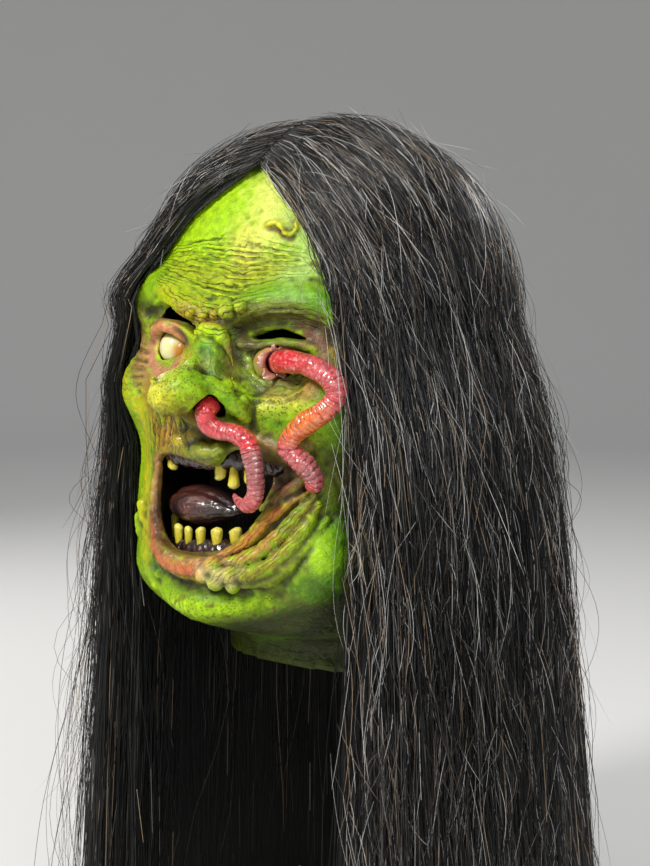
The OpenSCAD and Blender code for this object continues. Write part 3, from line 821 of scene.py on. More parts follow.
def cut_outline(s, outline, depth):
    """Cuts an outline of (x, z) places through the face, over a stretch of Y."""
    p = smooth_line([(x, 0, z) for x, z in outline + outline[:1]], 4)[:, (0, 2)]
    low, high = p.min(0) - 6, p.max(0) + 6
    cut, (x, y, z) = s.block((low[0], depth[0], low[1]), (high[0], depth[1], high[1]))
    px, pz = x[:, :, 0][:, 0][:, None], z[0, 0][None, :]
    gap = np.full(np.broadcast(px, pz).shape, 1e9)
    within = np.zeros(gap.shape, bool)
    for a, b in zip(p[:-1], p[1:]):
        v = b - a
        if v @ v < 1e-9:
            continue
        t = np.clip(((px - a[0]) * v[0] + (pz - a[1]) * v[1]) / (v @ v), 0, 1)
        gap = np.minimum(gap, np.hypot(px - a[0] - t * v[0], pz - a[1] - t * v[1]))
        crosses = (a[1] > pz) != (b[1] > pz)
        within ^= crosses & (px < a[0] + (pz - a[1]) / (v[1] if abs(v[1]) > 1e-9 else 1e-9) * v[0])
    signed = np.where(within, -gap, gap)[:, None, :]
    s.d[cut] = -smooth_min(-s.d[cut], signed + 0 * y, 2.0)


def sculpt_jaw(s, at):
    """Chin, the grooves over it, warts, creases of the near jaw and the folds of the throat."""
    s.swell([at(2, 50, 0)], 16, 2.5)
    s.swell(at.line([(-30, 61), (-10, 58), (10, 57), (30, 56)]), 3.0, -2.4)
    s.swell(at.line([(40, 52), (50, 62), (58, 78), (63, 96)]), 3.0, -1.8)
    s.roll([at(-40, 58, 0), at(-38, 52, 0)], [4.8, 3.6], 3)
    s.roll([at(-34, 58, 1)], 2.4, 2)
    s.swell([at(63, 80), at(66, 70), at(60, 58)], 11, 4.0)
    s.swell([at(36, 47), at(38, 55)], 4, -2.2)
    s.swell([at(50, 48), at(58, 52)], 6, 2.0)
    for i in range(8):
        z = 46 + 5.4 * i
        s.swell(at.line([(52, z - 6), (60, z - 1), (70, z + 3)]), 1.2, 0.7 if i % 2 else -0.7)
    for i in range(5):
        z = 28 - 4.8 * i
        s.swell([(-40, -70, z - 1), (-10, -74, z - 4), (20, -70, z - 2), (50, -56, z + 6)], 1.6, 1.4)


def sculpt_face():
    """The whole casting: sculpted outside, even wall, slits to see through, open neck and nape."""
    s = head_sculpt()
    inner = s.d + wall_depth(s)
    at = FaceMap(s)
    for work in (sculpt_forehead, sculpt_brows, sculpt_cheeks, sculpt_nose, sculpt_eyes, sculpt_jaw,
                 sculpt_mouth):
        work(s, at)
    far_slit = [(-50, 194), (-44, 200), (-36, 201), (-28, 198.5), (-18, 193.5), (-8, 186.5), (-14, 184.5),
                (-23, 187.5), (-34, 192.3), (-43, 193.6)]
    near_slit = [(18, 184.8), (24, 187.6), (31, 189.6), (39, 189.8), (46, 187.6), (51, 185), (44, 184.8),
                 (34, 185.4), (25, 184.6)]
    cut_outline(s, far_slit, (-130, -50))
    cut_outline(s, near_slit, (-130, -50))
    s.d = np.maximum(s.d, -inner)
    x, y, z = s.grids()
    slit_half_width, slit_front, slit_top = 1.5, 80, 90
    nape = np.maximum(np.maximum(np.abs(x) - slit_half_width, slit_front - y), z - slit_top)
    s.d = np.maximum(np.maximum(s.d, -z), -nape)
    return s.surface(), at


WALL = 3.4


def wall_depth(s):
    """Wall thickness: even, but thicker behind the brows and behind the torn cheek's inside."""
    x, z = s.axes[0].reshape(-1, 1, 1), s.axes[2].reshape(1, 1, -1)
    behind_brows = 4.5 * np.exp(-((z - 190) / 15) ** 2)
    behind_socket = 6 * np.exp(-((x - 28) / 18) ** 4 - ((z - 168) / 14) ** 4)
    behind_cheek = 10 * np.exp(-((x - 44) / 13) ** 4 - ((z - 113) / 13) ** 4)
    return WALL + behind_brows + behind_socket + behind_cheek


def neighbour_mean(values, edges, count):
    """At each point, the average of the points that it shares an edge with."""
    total = np.zeros((count, values.shape[1]))
    for k in range(values.shape[1]):
        total[:, k] = (np.bincount(edges[:, 0], values[edges[:, 1], k], count)
                       + np.bincount(edges[:, 1], values[edges[:, 0], k], count))
    share = np.bincount(edges.ravel(), minlength=count)
    return total / np.maximum(share, 1)[:, None]


def hollowness(verts, edges, normals, rounds):
    """How far each point lies below the average of those round it: above 0 in creases."""
    mean = verts
    for _ in range(rounds):
        mean = neighbour_mean(mean, edges, len(verts))
    return ((mean - verts) * normals).sum(1)


def line_gap(verts, points, reach=1e9, depth_share=1.0):
    """Distance from each vertex to a polyline, counting depth (Y) by a share; far ones stay far."""
    p = np.asarray(points, float) * (1, depth_share, 1)
    best = np.full(len(verts), 1e9)
    low, high = p.min(0) - reach, p.max(0) + reach
    near = np.nonzero((verts[:, 0] > low[0]) & (verts[:, 0] < high[0])
                      & (verts[:, 2] > low[2]) & (verts[:, 2] < high[2]))[0]
    v = verts[near] * (1, depth_share, 1)
    gap = np.full(len(near), 1e9)
    for a, b in zip(p, p[1:] if len(p) > 1 else p):
        way = b - a
        t = np.clip(((v - a) @ way) / (way @ way + 1e-9), 0, 1)[:, None]
        gap = np.minimum(gap, np.linalg.norm(v - a - t * way, axis=1))
    best[near] = gap
    return best


# Paints, as linear colours
LIME = (0.26, 0.50, 0.004)
BRIGHT_LIME = (0.45, 0.76, 0.004)
PALE_HIGHLIGHT = (0.90, 0.94, 0.20)
PALE_GREEN = (0.50, 0.74, 0.18)
YELLOW = (0.52, 0.50, 0.008)
PALE_YELLOW = (0.74, 0.72, 0.09)
OCHRE = (0.36, 0.21, 0.015)
ORANGE = (0.60, 0.22, 0.06)
OLIVE = (0.15, 0.16, 0.018)
SHADOW_OLIVE = (0.10, 0.085, 0.018)
DARK_OLIVE = (0.05, 0.055, 0.012)
BROWN = (0.16, 0.080, 0.035)
DARK_BROWN = (0.095, 0.040, 0.027)
INSIDE_SHADE_BROWN = (0.030, 0.014, 0.010)
PINK = (0.56, 0.24, 0.14)
DULL_PINK = (0.40, 0.21, 0.09)
MAUVE = (0.20, 0.065, 0.050)
GREY = (0.12, 0.095, 0.070)
GREEN = (0.13, 0.38, 0.008)
DEEP_GREEN = (0.06, 0.17, 0.02)
WET_GREEN = (0.20, 0.23, 0.05)
NECK_GREEN = (0.055, 0.080, 0.012)
BONE = (0.62, 0.50, 0.26)
RUST = (0.50, 0.16, 0.04)
WART_GREEN = (0.46, 0.54, 0.06)
LIP_RED = (0.62, 0.13, 0.075)

# Warts: x, z, paint and size; the first five lie along the brow
WARTS = [(11, 199, WART_GREEN, 4.2), (20, 201.5, WART_GREEN, 3.2), (3, 197, OCHRE, 2.6),
         (-5, 196, YELLOW, 2.6), (-15, 197, YELLOW, 2.4), (4, 171.5, WART_GREEN, 4.0),
         (20, 161, BRIGHT_LIME, 4.4), (27, 155, LIME, 3.2)]
HEAD_AXIS_Y = 12


def brush_marks():
    """The paint job, in order: colour, width in mm, strength, and places on the face as (x, z).

    Near and far are the burst eye's side and the milky eye's.
    """
    return [
        # forehead, with the nicks and the squiggle
        (BRIGHT_LIME, 22, 0.75, [(-50, 245), (-20, 262), (0, 255), (-30, 235)]),
        # painted highlight: the pale, pale green and pale yellow patches on the upper forehead
        (PALE_HIGHLIGHT, 13, 0.85, [(12, 264), (20, 246), (12, 234)]),
        (PALE_GREEN, 11, 0.75, [(36, 258), (46, 242), (50, 224)]),
        (PALE_YELLOW, 8, 0.6, [(5, 240), (10, 225)]),
        (YELLOW, 9, 0.5, [(-40, 222), (-10, 216), (14, 216), (34, 220)]),
        (PALE_GREEN, 7, 0.6, [(40, 218), (44, 209)]),
        (OCHRE, 2.5, 0.6, [(52, 223), (62, 221)]),
        (OCHRE, 2.5, 0.6, [(54, 214), (64, 211)]),
        (YELLOW, 2.4, 0.9, [(20, 243), (25, 243), (31, 239), (36, 240), (37, 246), (41, 245)]),
        (BROWN, 1.4, 0.8, [(21, 241), (28, 239.5), (32, 236.5), (36, 236)]),
        # near temple, brows, bridge and the hollow under the near brow
        (GREEN, 10, 0.8, [(62, 215), (68, 200), (74, 186)]),
        (GREEN, 6, 0.75, [(20, 206), (36, 209), (58, 204)]),
        (YELLOW, 6, 0.7, [(-44, 209), (-28, 204), (-14, 199)]),
        (OCHRE, 6.5, 0.85, [(-22, 197), (-6, 194), (8, 192)]),
        (ORANGE, 3.5, 0.5, [(-2, 193), (7, 191)]),
        (SHADOW_OLIVE, 7, 0.95, [(13, 191), (28, 196), (44, 197), (62, 190)]),
        (OLIVE, 2.5, 0.8, [(18, 197), (30, 201.5), (46, 202), (62, 196)]),
        (DARK_OLIVE, 2.8, 0.95, [(11, 187), (22, 190.5), (36, 193), (50, 191)]),
        # far temple and the milky eye's lids
        (DARK_OLIVE, 6.5, 0.9, [(-68, 201), (-58, 199), (-48, 194)]),
        (BROWN, 7, 0.75, [(-68, 190), (-68, 178), (-62, 168)]),
        (DULL_PINK, 8, 0.85, [(-66, 178), (-60, 166), (-48, 158)]),
        (YELLOW, 7, 0.85, [(-82, 186), (-78, 170), (-72, 152)]),
        (PINK, 4.2, 0.95, [(-55, 182), (-51, 187), (-43, 189.5), (-35, 188), (-30, 183)]),
        (PINK, 3.8, 0.95, [(-55, 175), (-51, 169), (-43, 165.5), (-34, 166), (-29, 172)]),
        # nose and nostrils
        (GREEN, 7, 0.9, [(0, 180), (8, 172), (14, 163), (20, 156)]),
        (YELLOW, 11, 0.97, [(-20, 170), (-10, 161), (0, 153)]),
        (PALE_YELLOW, 7, 0.7, [(-22, 166), (-12, 160), (-3, 156)]),
        (YELLOW, 5, 0.7, [(-8, 174), (-2, 165)]),
        (DEEP_GREEN, 3.2, 0.75, [(3, 179), (9, 172), (14, 164)]),
        (BRIGHT_LIME, 4.2, 1.0, [(-9, 186), (0, 188.5), (9, 186), (14, 178), (18, 168)]),
        (YELLOW, 2.8, 0.8, [(-9, 186), (-3, 188)]),
        # painted shade under the nose, in olive and brown
        (SHADOW_OLIVE, 4.5, 0.95, [(-22, 150), (-12, 146), (2, 145), (12, 150)]),
        (BROWN, 3.4, 0.8, [(-26, 154), (-18, 149.5), (-8, 147.5), (3, 147)]),
        (DARK_OLIVE, 2.5, 0.8, [(-6, 143), (10, 143)]),
        # far cheek, upper lip and the mouth's upper edge
        (OCHRE, 8.5, 0.97, [(-48, 152), (-42, 138), (-38, 126)]),
        (OCHRE, 8, 0.95, [(-28, 142), (-20, 130), (-6, 136), (4, 136)]),
        (ORANGE, 4, 0.6, [(-36, 138), (-29, 128)]),
        (YELLOW, 5, 0.9, [(-56, 146), (-55, 124), (-54, 100), (-52, 82)]),
        (WET_GREEN, 5.5, 0.9, [(-5, 129), (8, 127), (20, 130)]),
        (PALE_YELLOW, 2.6, 0.5, [(-21, 131), (-17, 130)]),
        (PALE_YELLOW, 2.6, 0.4, [(0, 128), (5, 127)]),
        (BROWN, 2.8, 0.95, [(-44, 117), (-30, 121.5), (-12, 122), (6, 120.5)]),
        # the milky eye's lids again, over what has run onto them
        (PINK, 4.5, 0.95, [(-55, 181), (-51, 187), (-43, 189.5), (-35, 188), (-31, 184)]),
        (PINK, 3.2, 0.9, [(-54, 173), (-49, 168), (-42, 165.5), (-34, 167), (-31, 173)]),
        # rings and bag of the burst eye
        (SHADOW_OLIVE, 8, 0.85, [(22, 180), (30, 168), (48, 165), (62, 170)]),
        (OLIVE, 2.6, 0.8, [(21, 178), (23, 169), (34, 163), (50, 162)]),
        (BROWN, 3.4, 0.95, [(15, 186), (13, 176), (17, 166), (28, 159), (44, 156), (62, 158)]),
        (BROWN, 1.8, 0.8, [(20, 178), (22, 170), (32, 164.5), (46, 163)]),
        (GREY, 3.0, 0.8, [(17, 182), (28, 181.5), (40, 183), (54, 182)]),
        (MAUVE, 5, 0.95, [(52, 188), (60, 184), (64, 176), (62, 169)]),
        (ORANGE, 4.5, 0.65, [(70, 178), (67, 167), (58, 161)]),
        # near cheek
        (GREEN, 5, 0.6, [(22, 152), (34, 146), (44, 143)]),
        (PALE_YELLOW, 6, 0.55, [(33, 152), (46, 154), (58, 150)]),
        (BRIGHT_LIME, 6, 0.6, [(54, 146), (62, 142)]),
        (OLIVE, 2.6, 0.85, [(24, 166), (29, 158), (30, 149), (27, 141)]),
        (DULL_PINK, 5, 0.9, [(28, 135), (42, 130), (56, 133)]),
        (BROWN, 3, 0.7, [(34, 128), (46, 126), (58, 128)]),
        (GREEN, 9, 0.85, [(74, 168), (76, 146), (74, 128)]),
        (OLIVE, 8, 0.85, [(64, 124), (68, 110), (66, 98)]),
        # the mouth's far and lower edges, and the near ones
        (DULL_PINK, 4.2, 0.97, [(-42, 116), (-44, 100), (-43, 84)]),
        (DARK_BROWN, 2.0, 0.9, [(-40, 114), (-41.5, 100), (-40.5, 88)]),
        (LIP_RED, 7.0, 1.0, [(-42, 79), (-32, 70), (-16, 66), (0, 66), (9, 68)]),
        (PINK, 2.2, 0.7, [(-22, 70), (-6, 69.5), (6, 70)]),
        (OCHRE, 2.2, 0.6, [(-46, 84), (-40, 72), (-28, 65)]),
        (DARK_BROWN, 3.0, 0.97, [(-42, 90), (-36, 79), (-20, 74), (0, 74), (14, 78), (26, 87)]),
        (RUST, 4.4, 0.97, [(14, 72), (24, 78), (33, 87), (42, 98)]),
        (RUST, 3.6, 0.8, [(42, 98), (52, 106), (57, 111)]),
        (BROWN, 1.8, 0.9, [(18, 71), (30, 76), (40, 84), (50, 96)]),
        (RUST, 3.2, 0.85, [(24, 71), (36, 78), (44, 87)]),
        (OLIVE, 3.6, 0.85, [(47, 90), (53, 99), (58, 107)]),
        (OCHRE, 3.4, 0.85, [(24, 65), (36, 67), (45, 74), (52, 86), (58, 100)]),
        (OLIVE, 4.2, 0.9, [(32, 61), (44, 64), (53, 73), (59, 86)]),
        (BROWN, 1.6, 0.9, [(26, 68), (38, 71), (47, 80), (55, 93)]),
        (BROWN, 1.6, 0.9, [(30, 63.5), (42, 67), (51, 77)]),
        (DULL_PINK, 2.4, 0.7, [(32, 73), (42, 81)]),
        # near corner of the mouth
        (DARK_BROWN, 8.5, 1.0, [(33, 122), (42, 119), (52, 116), (44, 111), (36, 110)]),
        (MAUVE, 4.5, 0.9, [(31, 118), (38, 113), (46, 108)]),
        (BROWN, 3.0, 0.85, [(33, 99), (41, 104), (50, 109), (57, 115)]),
        # below the mouth: chin and jaw, then the last creases
        (BONE, 5.6, 0.97, [(12, 67), (18, 65), (26, 64)]),
        (OLIVE, 1.6, 0.7, [(12, 60), (18, 58), (26, 57)]),
        (DEEP_GREEN, 4.6, 0.95, [(-38, 62), (-14, 57), (8, 55), (30, 53)]),
        (DARK_OLIVE, 3.0, 0.6, [(-20, 58), (8, 54.5), (26, 53)]),
        (BRIGHT_LIME, 10, 0.8, [(-28, 45), (-6, 40), (14, 42), (32, 46)]),
        (YELLOW, 5, 0.7, [(-52, 100), (-54, 84), (-48, 64)]),
        (GREEN, 9, 0.9, [(68, 92), (71, 76), (64, 56)]),
        (DEEP_GREEN, 5, 0.6, [(72, 96), (76, 76)]),
        (OLIVE, 6, 0.7, [(40, 57), (50, 52)]),
        (SHADOW_OLIVE, 6, 0.8, [(20, 35), (44, 38), (62, 44)]),
        (DARK_OLIVE, 5, 0.75, [(70, 126), (77, 104), (75, 84)]),
        (DARK_OLIVE, 3.4, 0.7, [(58, 74), (65, 60), (70, 46)]),
        (BRIGHT_LIME, 5, 0.7, [(62, 82), (67, 70)]),
        (DEEP_GREEN, 5, 0.7, [(52, 60), (62, 62), (72, 66)]),
        (DARK_OLIVE, 2.6, 0.6, [(72, 170), (75, 156), (74, 140)]),
    ]


def paint_face(verts, normals, edges, at):
    """Colours and finish of each point of the skin."""
    colour = np.tile(np.array(LIME), (len(verts), 1))
    blot = waves(verts, 26, 3)[:, None] * 0.5 + 0.5
    colour = colour * (0.80 + 0.35 * blot) + np.array((0.07, 0.03, 0)) * blot
    mottle = 1 + 0.30 * waves(verts, 6, 8)
    for tint, width, strength, places in brush_marks():
        gap = line_gap(verts, at.line(places), 2.6 * width, 0.3)
        lay(colour, tint, strength * np.exp(-(gap / (width * mottle)) ** 2))
    for x, z, tint, r in WARTS:
        lay(colour, tint, 0.85 * np.exp(-(line_gap(verts, [at(x, z)], 12, 0.3) / (1.1 * r)) ** 2))
    x, y, z = verts.T
    # the dark neck, its dark paint carried up under the near jaw as painted shadow, with one painted
    # highlight streak, and freckles on the chin
    under = 0.97 * step(30 + 0.3 * np.clip(x - 5, 0, 60) - z, -14, 0)
    lay(colour, NECK_GREEN * (0.4 + 0.6 * blot), under)
    neck_highlight = np.exp(-(line_gap(verts, [(-20, -38, 12), (0, -40, 13), (24, -52, 24)], 20) / 4) ** 2)
    lay(colour, GREEN, 0.7 * neck_highlight)
    freckle = step(waves(verts, 4.5, 61, 14), 0.55, 0.9) * np.exp(-((z - 46) / 12) ** 2)
    lay(colour, np.array(BROWN) * 0.8, 0.7 * freckle)
    lay(colour, OLIVE, 0.7 * step(y, -40, -5))
    # dark wash settles in the small creases, the broad hollows get painted shade, and crests are lightened
    # as a painted highlight
    fine = hollowness(verts, edges, normals, 4)
    broad = hollowness(verts, edges, normals, 24)
    face = step(-y, 20, 45)
    wash = np.clip(step(fine, 0.05, 0.22) * 0.9 + step(broad, 0.15, 1.1) * 0.95, 0, 1) * face
    wash = neighbour_mean(neighbour_mean(wash[:, None], edges, len(verts)), edges, len(verts))[:, 0]
    lay(colour, np.minimum(colour * (1.7, 1.5, 1.0), 1), 0.6 * step(-fine, 0.05, 0.30) * face)
    # the inside of the casting is painted near-black brown as painted shade
    radial = np.hypot(x, y - HEAD_AXIS_Y)
    facing_in = -(normals[:, 0] * x + normals[:, 1] * (y - HEAD_AXIS_Y)) / np.maximum(radial, 1)
    inward = step(facing_in, 0.05, 0.4)
    lining = inward * step(-(radial - lining_radius(x, y, z)), -1.0, 0.5)
    lay(colour, INSIDE_SHADE_BROWN, lining)
    wet = nearness(verts, 90, [
        (0.9, 8, at.line([(-34, 134), (-12, 131), (12, 128)])), (0.8, 26, [(-20, -92, 96), (10, -90, 100)]),
        (0.8, 14, [MILKY_EYE]), (0.4, 15, [BURST_EYE])])
    pores = nearness(verts, 60, [
        (1.0, 20, [(-26, -98, 166), (-14, -116, 156), (-4, -118, 166)]),
        (0.8, 8, at.line([(-24, 198), (4, 196)])),
        (0.7, 15, at.line([(34, 150), (56, 146)])), (0.5, 14, at.line([(-20, 46), (20, 46)]))])
    number, depth = fold_field(verts)
    return colour, {"wash": wash, "wet": wet * (1 - lining), "pores": np.maximum(pores, 0.05) * face,
                    "fold_number": number, "fold_depth": depth * face * (1 - lining)}


def nearness(verts, reach, lines):
    """The strongest of several soft marks at each point, each (strength, width, places)."""
    return np.max([share * np.exp(-(line_gap(verts, where, reach) / width) ** 2)
                   for share, width, where in lines], axis=0)


def lining_radius(x, y, z):
    """Distance from the head's axis to just under the plain outside, for telling the lining apart."""
    angle = np.degrees(np.arctan2(x, HEAD_AXIS_Y - y))
    r, _ = head_radius(angle, np.clip(z, 0, CROWN_TOP))
    return r - 2.2


def fold_field(verts):
    """Fold numbers that run across each patch of wrinkles, and how deep the wrinkles are there.

    Each patch is a product of soft edges, so its wrinkles fade out at its border; where two patches
    meet, the deeper one wins.
    """
    x, y, z = verts.T
    low = np.interp(x, [-56, -34, -11, 9, 27, 50], [219, 213, 207, 204, 208, 213])
    high = np.interp(x, [-56, -36, -10, 13, 27, 50], [232, 236, 239, 238, 235, 230])
    t = (z - low) / (high - low)
    bend = 0.35 * waves(verts * (0.25, 0.25, 1), 6, 91)
    lowest = np.interp(x, [-56, -30, 0, 14, 24, 50], [-0.2, -0.5, -0.7, -0.5, -0.1, -0.1])
    brow = step(t - lowest, -0.08, 0.08) * step(-t, -1.08, -0.9) * step(x, -62, -50) * step(-x, -58, -30)
    far_cheek = step(-x, 50, 60) * step(z, 146, 152) * step(-z, -192, -184)
    rho = np.hypot(x - 40, (z - 180) * 1.2)
    swing = np.arctan2(z - 180, x - 40)
    rings = step(rho, 13, 17) * step(-rho, -36, -31) * step(-z, -186, -178) * step(-x, -62, -52) * (z > 150)
    lid = step(z, 188, 191) * step(-z, -206, -202) * step(x, 12, 18) * step(-x, -72, -64)
    drips = step(x, -56, -50) * step(-x, 8, 16) * step(z, 119, 123) * step(-z, -153, -147)
    lip = step(x, -44, -38) * step(-x, -14, -9) * np.exp(-((z - 68) / 6) ** 4)
    flap = (x - 34) * 0.78 - (z - 84) * 0.62
    flaps = (step(flap, -14, -9) * step(-flap, -20, -14) * step(x, 12, 18) * step(z, 58, 64)
             * step(-z, -114, -106))
    jaw = step(x, 54, 62) * step(z, 34, 42) * step(-z, -150, -135)
    neck = step(-z, -42, -36) * step(z, 2, 6)
    hatch = step(z, 240, 246) * step(-z, -272, -262) * step(-x, -40, -20)
    patches = [
        (0.95 * brow * np.interp(x, [20, 45], [1, 0.55]), 9.5 * t + bend),
        (0.6 * far_cheek, z / 4.4 + bend),
        (0.4 * rings, rho / 4.2 + 0.3 * np.sin(3 * swing)),
        (0.45 * lid, np.hypot((x - 40) * 0.55, z - 160) / 2.9),
        (0.9 * drips, (x + 0.18 * (z - 135)) / 3.2 + bend),
        (0.45 * lip, (x + 0.3 * (z - 68)) / 2.6 + bend),
        (0.5 * flaps, flap / 2.3 + bend),
        (0.14 * jaw, (z - 1.1 * x + 0.25 * y) / 3.0 + 3 * bend),
        (0.9 * neck, (z + 0.05 * x) / 4.6 + bend),
        (0.06 * hatch, z / 1.9 + bend)]
    depths = np.array([depth for depth, _ in patches])
    numbers = np.array([number for _, number in patches])
    best = depths.argmax(axis=0)[None, :]
    return np.take_along_axis(numbers, best, 0)[0] + 40, np.take_along_axis(depths, best, 0)[0]


def mesh_arrays(mesh):
    """A mesh's points in millimetres, its point normals and its edges, as arrays."""
    count = len(mesh.vertices)
    co = np.empty(count * 3, np.float32)
    mesh.vertices.foreach_get("co", co)
    normal = np.empty(count * 3, np.float32)
    mesh.vertices.foreach_get("normal", normal)
    edges = np.empty(len(mesh.edges) * 2, np.int32)
    mesh.edges.foreach_get("vertices", edges)
    return co.reshape(-1, 3).astype(float) / MM, normal.reshape(-1, 3).astype(float), edges.reshape(-1, 2)


def decimate(obj, ratio, weights):
    """Thins the mesh to ratio of its faces, mostly where the weights are high."""
    group = obj.vertex_groups.new(name="thin")
    for level in (0.25, 0.5, 0.75, 1.0):
        chosen = np.nonzero((weights > level - 0.25) & (weights <= level))[0]
        group.add(chosen.tolist(), level, "REPLACE")
    modifier = obj.modifiers.new("thin", "DECIMATE")
    modifier.ratio = ratio
    modifier.vertex_group = "thin"
    modifier.vertex_group_factor = 10
    graph = bpy.context.evaluated_depsgraph_get()
    mesh = bpy.data.meshes.new_from_object(obj.evaluated_get(graph))
    obj.modifiers.clear()
    obj.vertex_groups.clear()
    obj.data = mesh


def make_skin():
    """The latex casting: sculpted, thinned where it is hidden, roughened, then painted."""
    (verts, quads), at = sculpt_face()
    skin = mesh_object("latex_skin", verts, quads, latex_material())
    points, normals, _ = mesh_arrays(skin.data)
    # the inside of the wall and the back of the head can be coarser
    facing_out = (points * normals * (1, 1, 0)).sum(1) / np.maximum(np.hypot(points[:, 0], points[:, 1]), 1)
    inward = step(facing_out, 0.1, -0.4)
    behind = step(points[:, 1], -45, -20)
    kept_share = 0.42
    decimate(skin, kept_share, np.clip(np.maximum(inward, behind), 0, 1))
    points, normals, _ = mesh_arrays(skin.data)
    # brush-coated latex is never quite even
    grain = 0.16 * waves(points, 3.4, 21, 14) + 0.20 * waves(points, 8, 22)
    flat_rim = (points[:, 2] > 1.5) & (points[:, 1] < -30)
    points += normals * (grain * flat_rim)[:, None]
    skin.data.vertices.foreach_set("co", (points * MM).astype(np.float32).ravel())
    skin.data.update()
    points, normals, edges = mesh_arrays(skin.data)
    colours, fields = paint_face(points, normals, edges, at)
    set_paint(skin.data, colours)
    set_fields(skin.data, fields)
    place(skin, "mask", "painted_latex", "face_skin")


# ---------------------------------------------------------------- eyes
def ball(centre, radius, rows=48, cols=64, bumps=0.0, seed=1):
    """Points, quads and unit directions of a lightly lumpy sphere whose poles lie along Y."""
    lat = np.linspace(0.001, math.pi - 0.001, rows)[:, None]
    lon = np.linspace(0, 2 * math.pi, cols, endpoint=False)[None, :]
    way = np.stack([np.sin(lat) * np.cos(lon), -np.cos(lat) * np.ones_like(lon),
                    np.sin(lat) * np.sin(lon)], -1).reshape(-1, 3)
    r = radius * (1 + bumps * waves(way * 10, 9, seed))
    return np.asarray(centre, float) + way * r[:, None], grid_quads(rows, cols, True)[:, ::-1], way


def eye_material(name):
    """Glassy painted ball under a clear wet coat."""
    g = Graph(name, {"Roughness": 0.18, "Coat Weight": 1.0, "Coat Roughness": 0.03,
                     "Subsurface Weight": 0.15, "Subsurface Scale": 0.004})
    paint = g.attribute("paint", "Color")
    cloud = g.ramp(g.noise(240, 4, 0.6), 0.35, 0.7)
    g.set("Base Color", g.mix(g.math("MULTIPLY", cloud, 0.3), paint, (0.85, 0.72, 0.38, 1), "MULTIPLY"))
    g.bump([(g.noise(300, 2), 0.15, 0.0003)])
    return g.mat


def make_milky_eye():
    """Blind pale ball, amber on the side by the nose and brown at its rim."""
    verts, quads, way = ball(MILKY_EYE, EYE_R)
    colour = np.tile((0.80, 0.76, 0.36), (len(verts), 1))
    lay(colour, (0.72, 0.28, 0.05), step(way @ (0.83, -0.50, -0.22), 0.72, 0.98))
    lay(colour, (0.45, 0.20, 0.06), step(-way[:, 1], 0.50, 0.15))
    lay(colour, (0.90, 0.88, 0.56), 0.7 * step(way @ (-0.35, -0.90, 0.25), 0.75, 1.0))
    eye = mesh_object("milky_eyeball_glass", verts, quads, eye_material("milky_eye"), colour)
    place(eye, "mask", "milky_eye", "milky_eyeball")


WORM_WAY_OUT = np.array((16, -11, 1.5)) / np.linalg.norm((16, -11, 1.5))
EYE_WORM_ROUTE = [
    (36, -82, 173), (44, -88, 174), (54, -89, 174), (65, -89, 172), (74, -87, 166), (77, -87, 158),
    (73, -91, 151), (64, -94, 145), (56, -95, 138), (53, -95, 131), (58, -93, 126), (63, -90, 120),
    (64, -88, 115), (61, -89, 110)]
NOSE_WORM_ROUTE = [
    (12, -106, 152), (13, -112, 149), (13, -110, 143), (18, -107, 139), (26, -105, 138), (34, -104, 134),
    (37, -104, 126), (38, -103, 116), (37, -102, 107), (31, -101, 101), (24, -100, 103), (20, -99, 106)]


def make_burst_eye():
    """Ball with a torn pit where the worm comes out."""
    verts, quads, _ = ball(BURST_EYE, EYE_R, 72, 96, 0.02, 4)
    out = WORM_WAY_OUT
    rel = verts - np.array(BURST_EYE)
    along = rel @ out
    off = np.linalg.norm(rel - along[:, None] * out, axis=1)
    spin = np.arctan2(rel @ np.cross(out, (0, 0, 1)), rel[:, 2])
    ragged = 6.9 + 0.5 * np.sin(5 * spin + 1) + 0.35 * np.sin(11 * spin)
    pit = step(ragged - off, 0.0, 0.7) * (along > 0)
    verts = verts - pit[:, None] * out * np.clip(along - 1.5, 0, None)[:, None]
    colour = np.tile((0.34, 0.30, 0.05), (len(verts), 1))
    lay(colour, (0.62, 0.50, 0.16), 0.7 * (0.5 + 0.5 * waves(verts, 7, 6)))
    lay(colour, (0.62, 0.20, 0.13), 0.8 * step(ragged - off, -4.5, 0.0) * (along > 0))
    lay(colour, (0.05, 0.012, 0.010), 0.9 * pit)
    eye = mesh_object("burst_eyeball_skin", verts, quads, eye_material("burst_eye"), colour)
    place(eye, "mask", "burst_eye", "burst_eyeball")


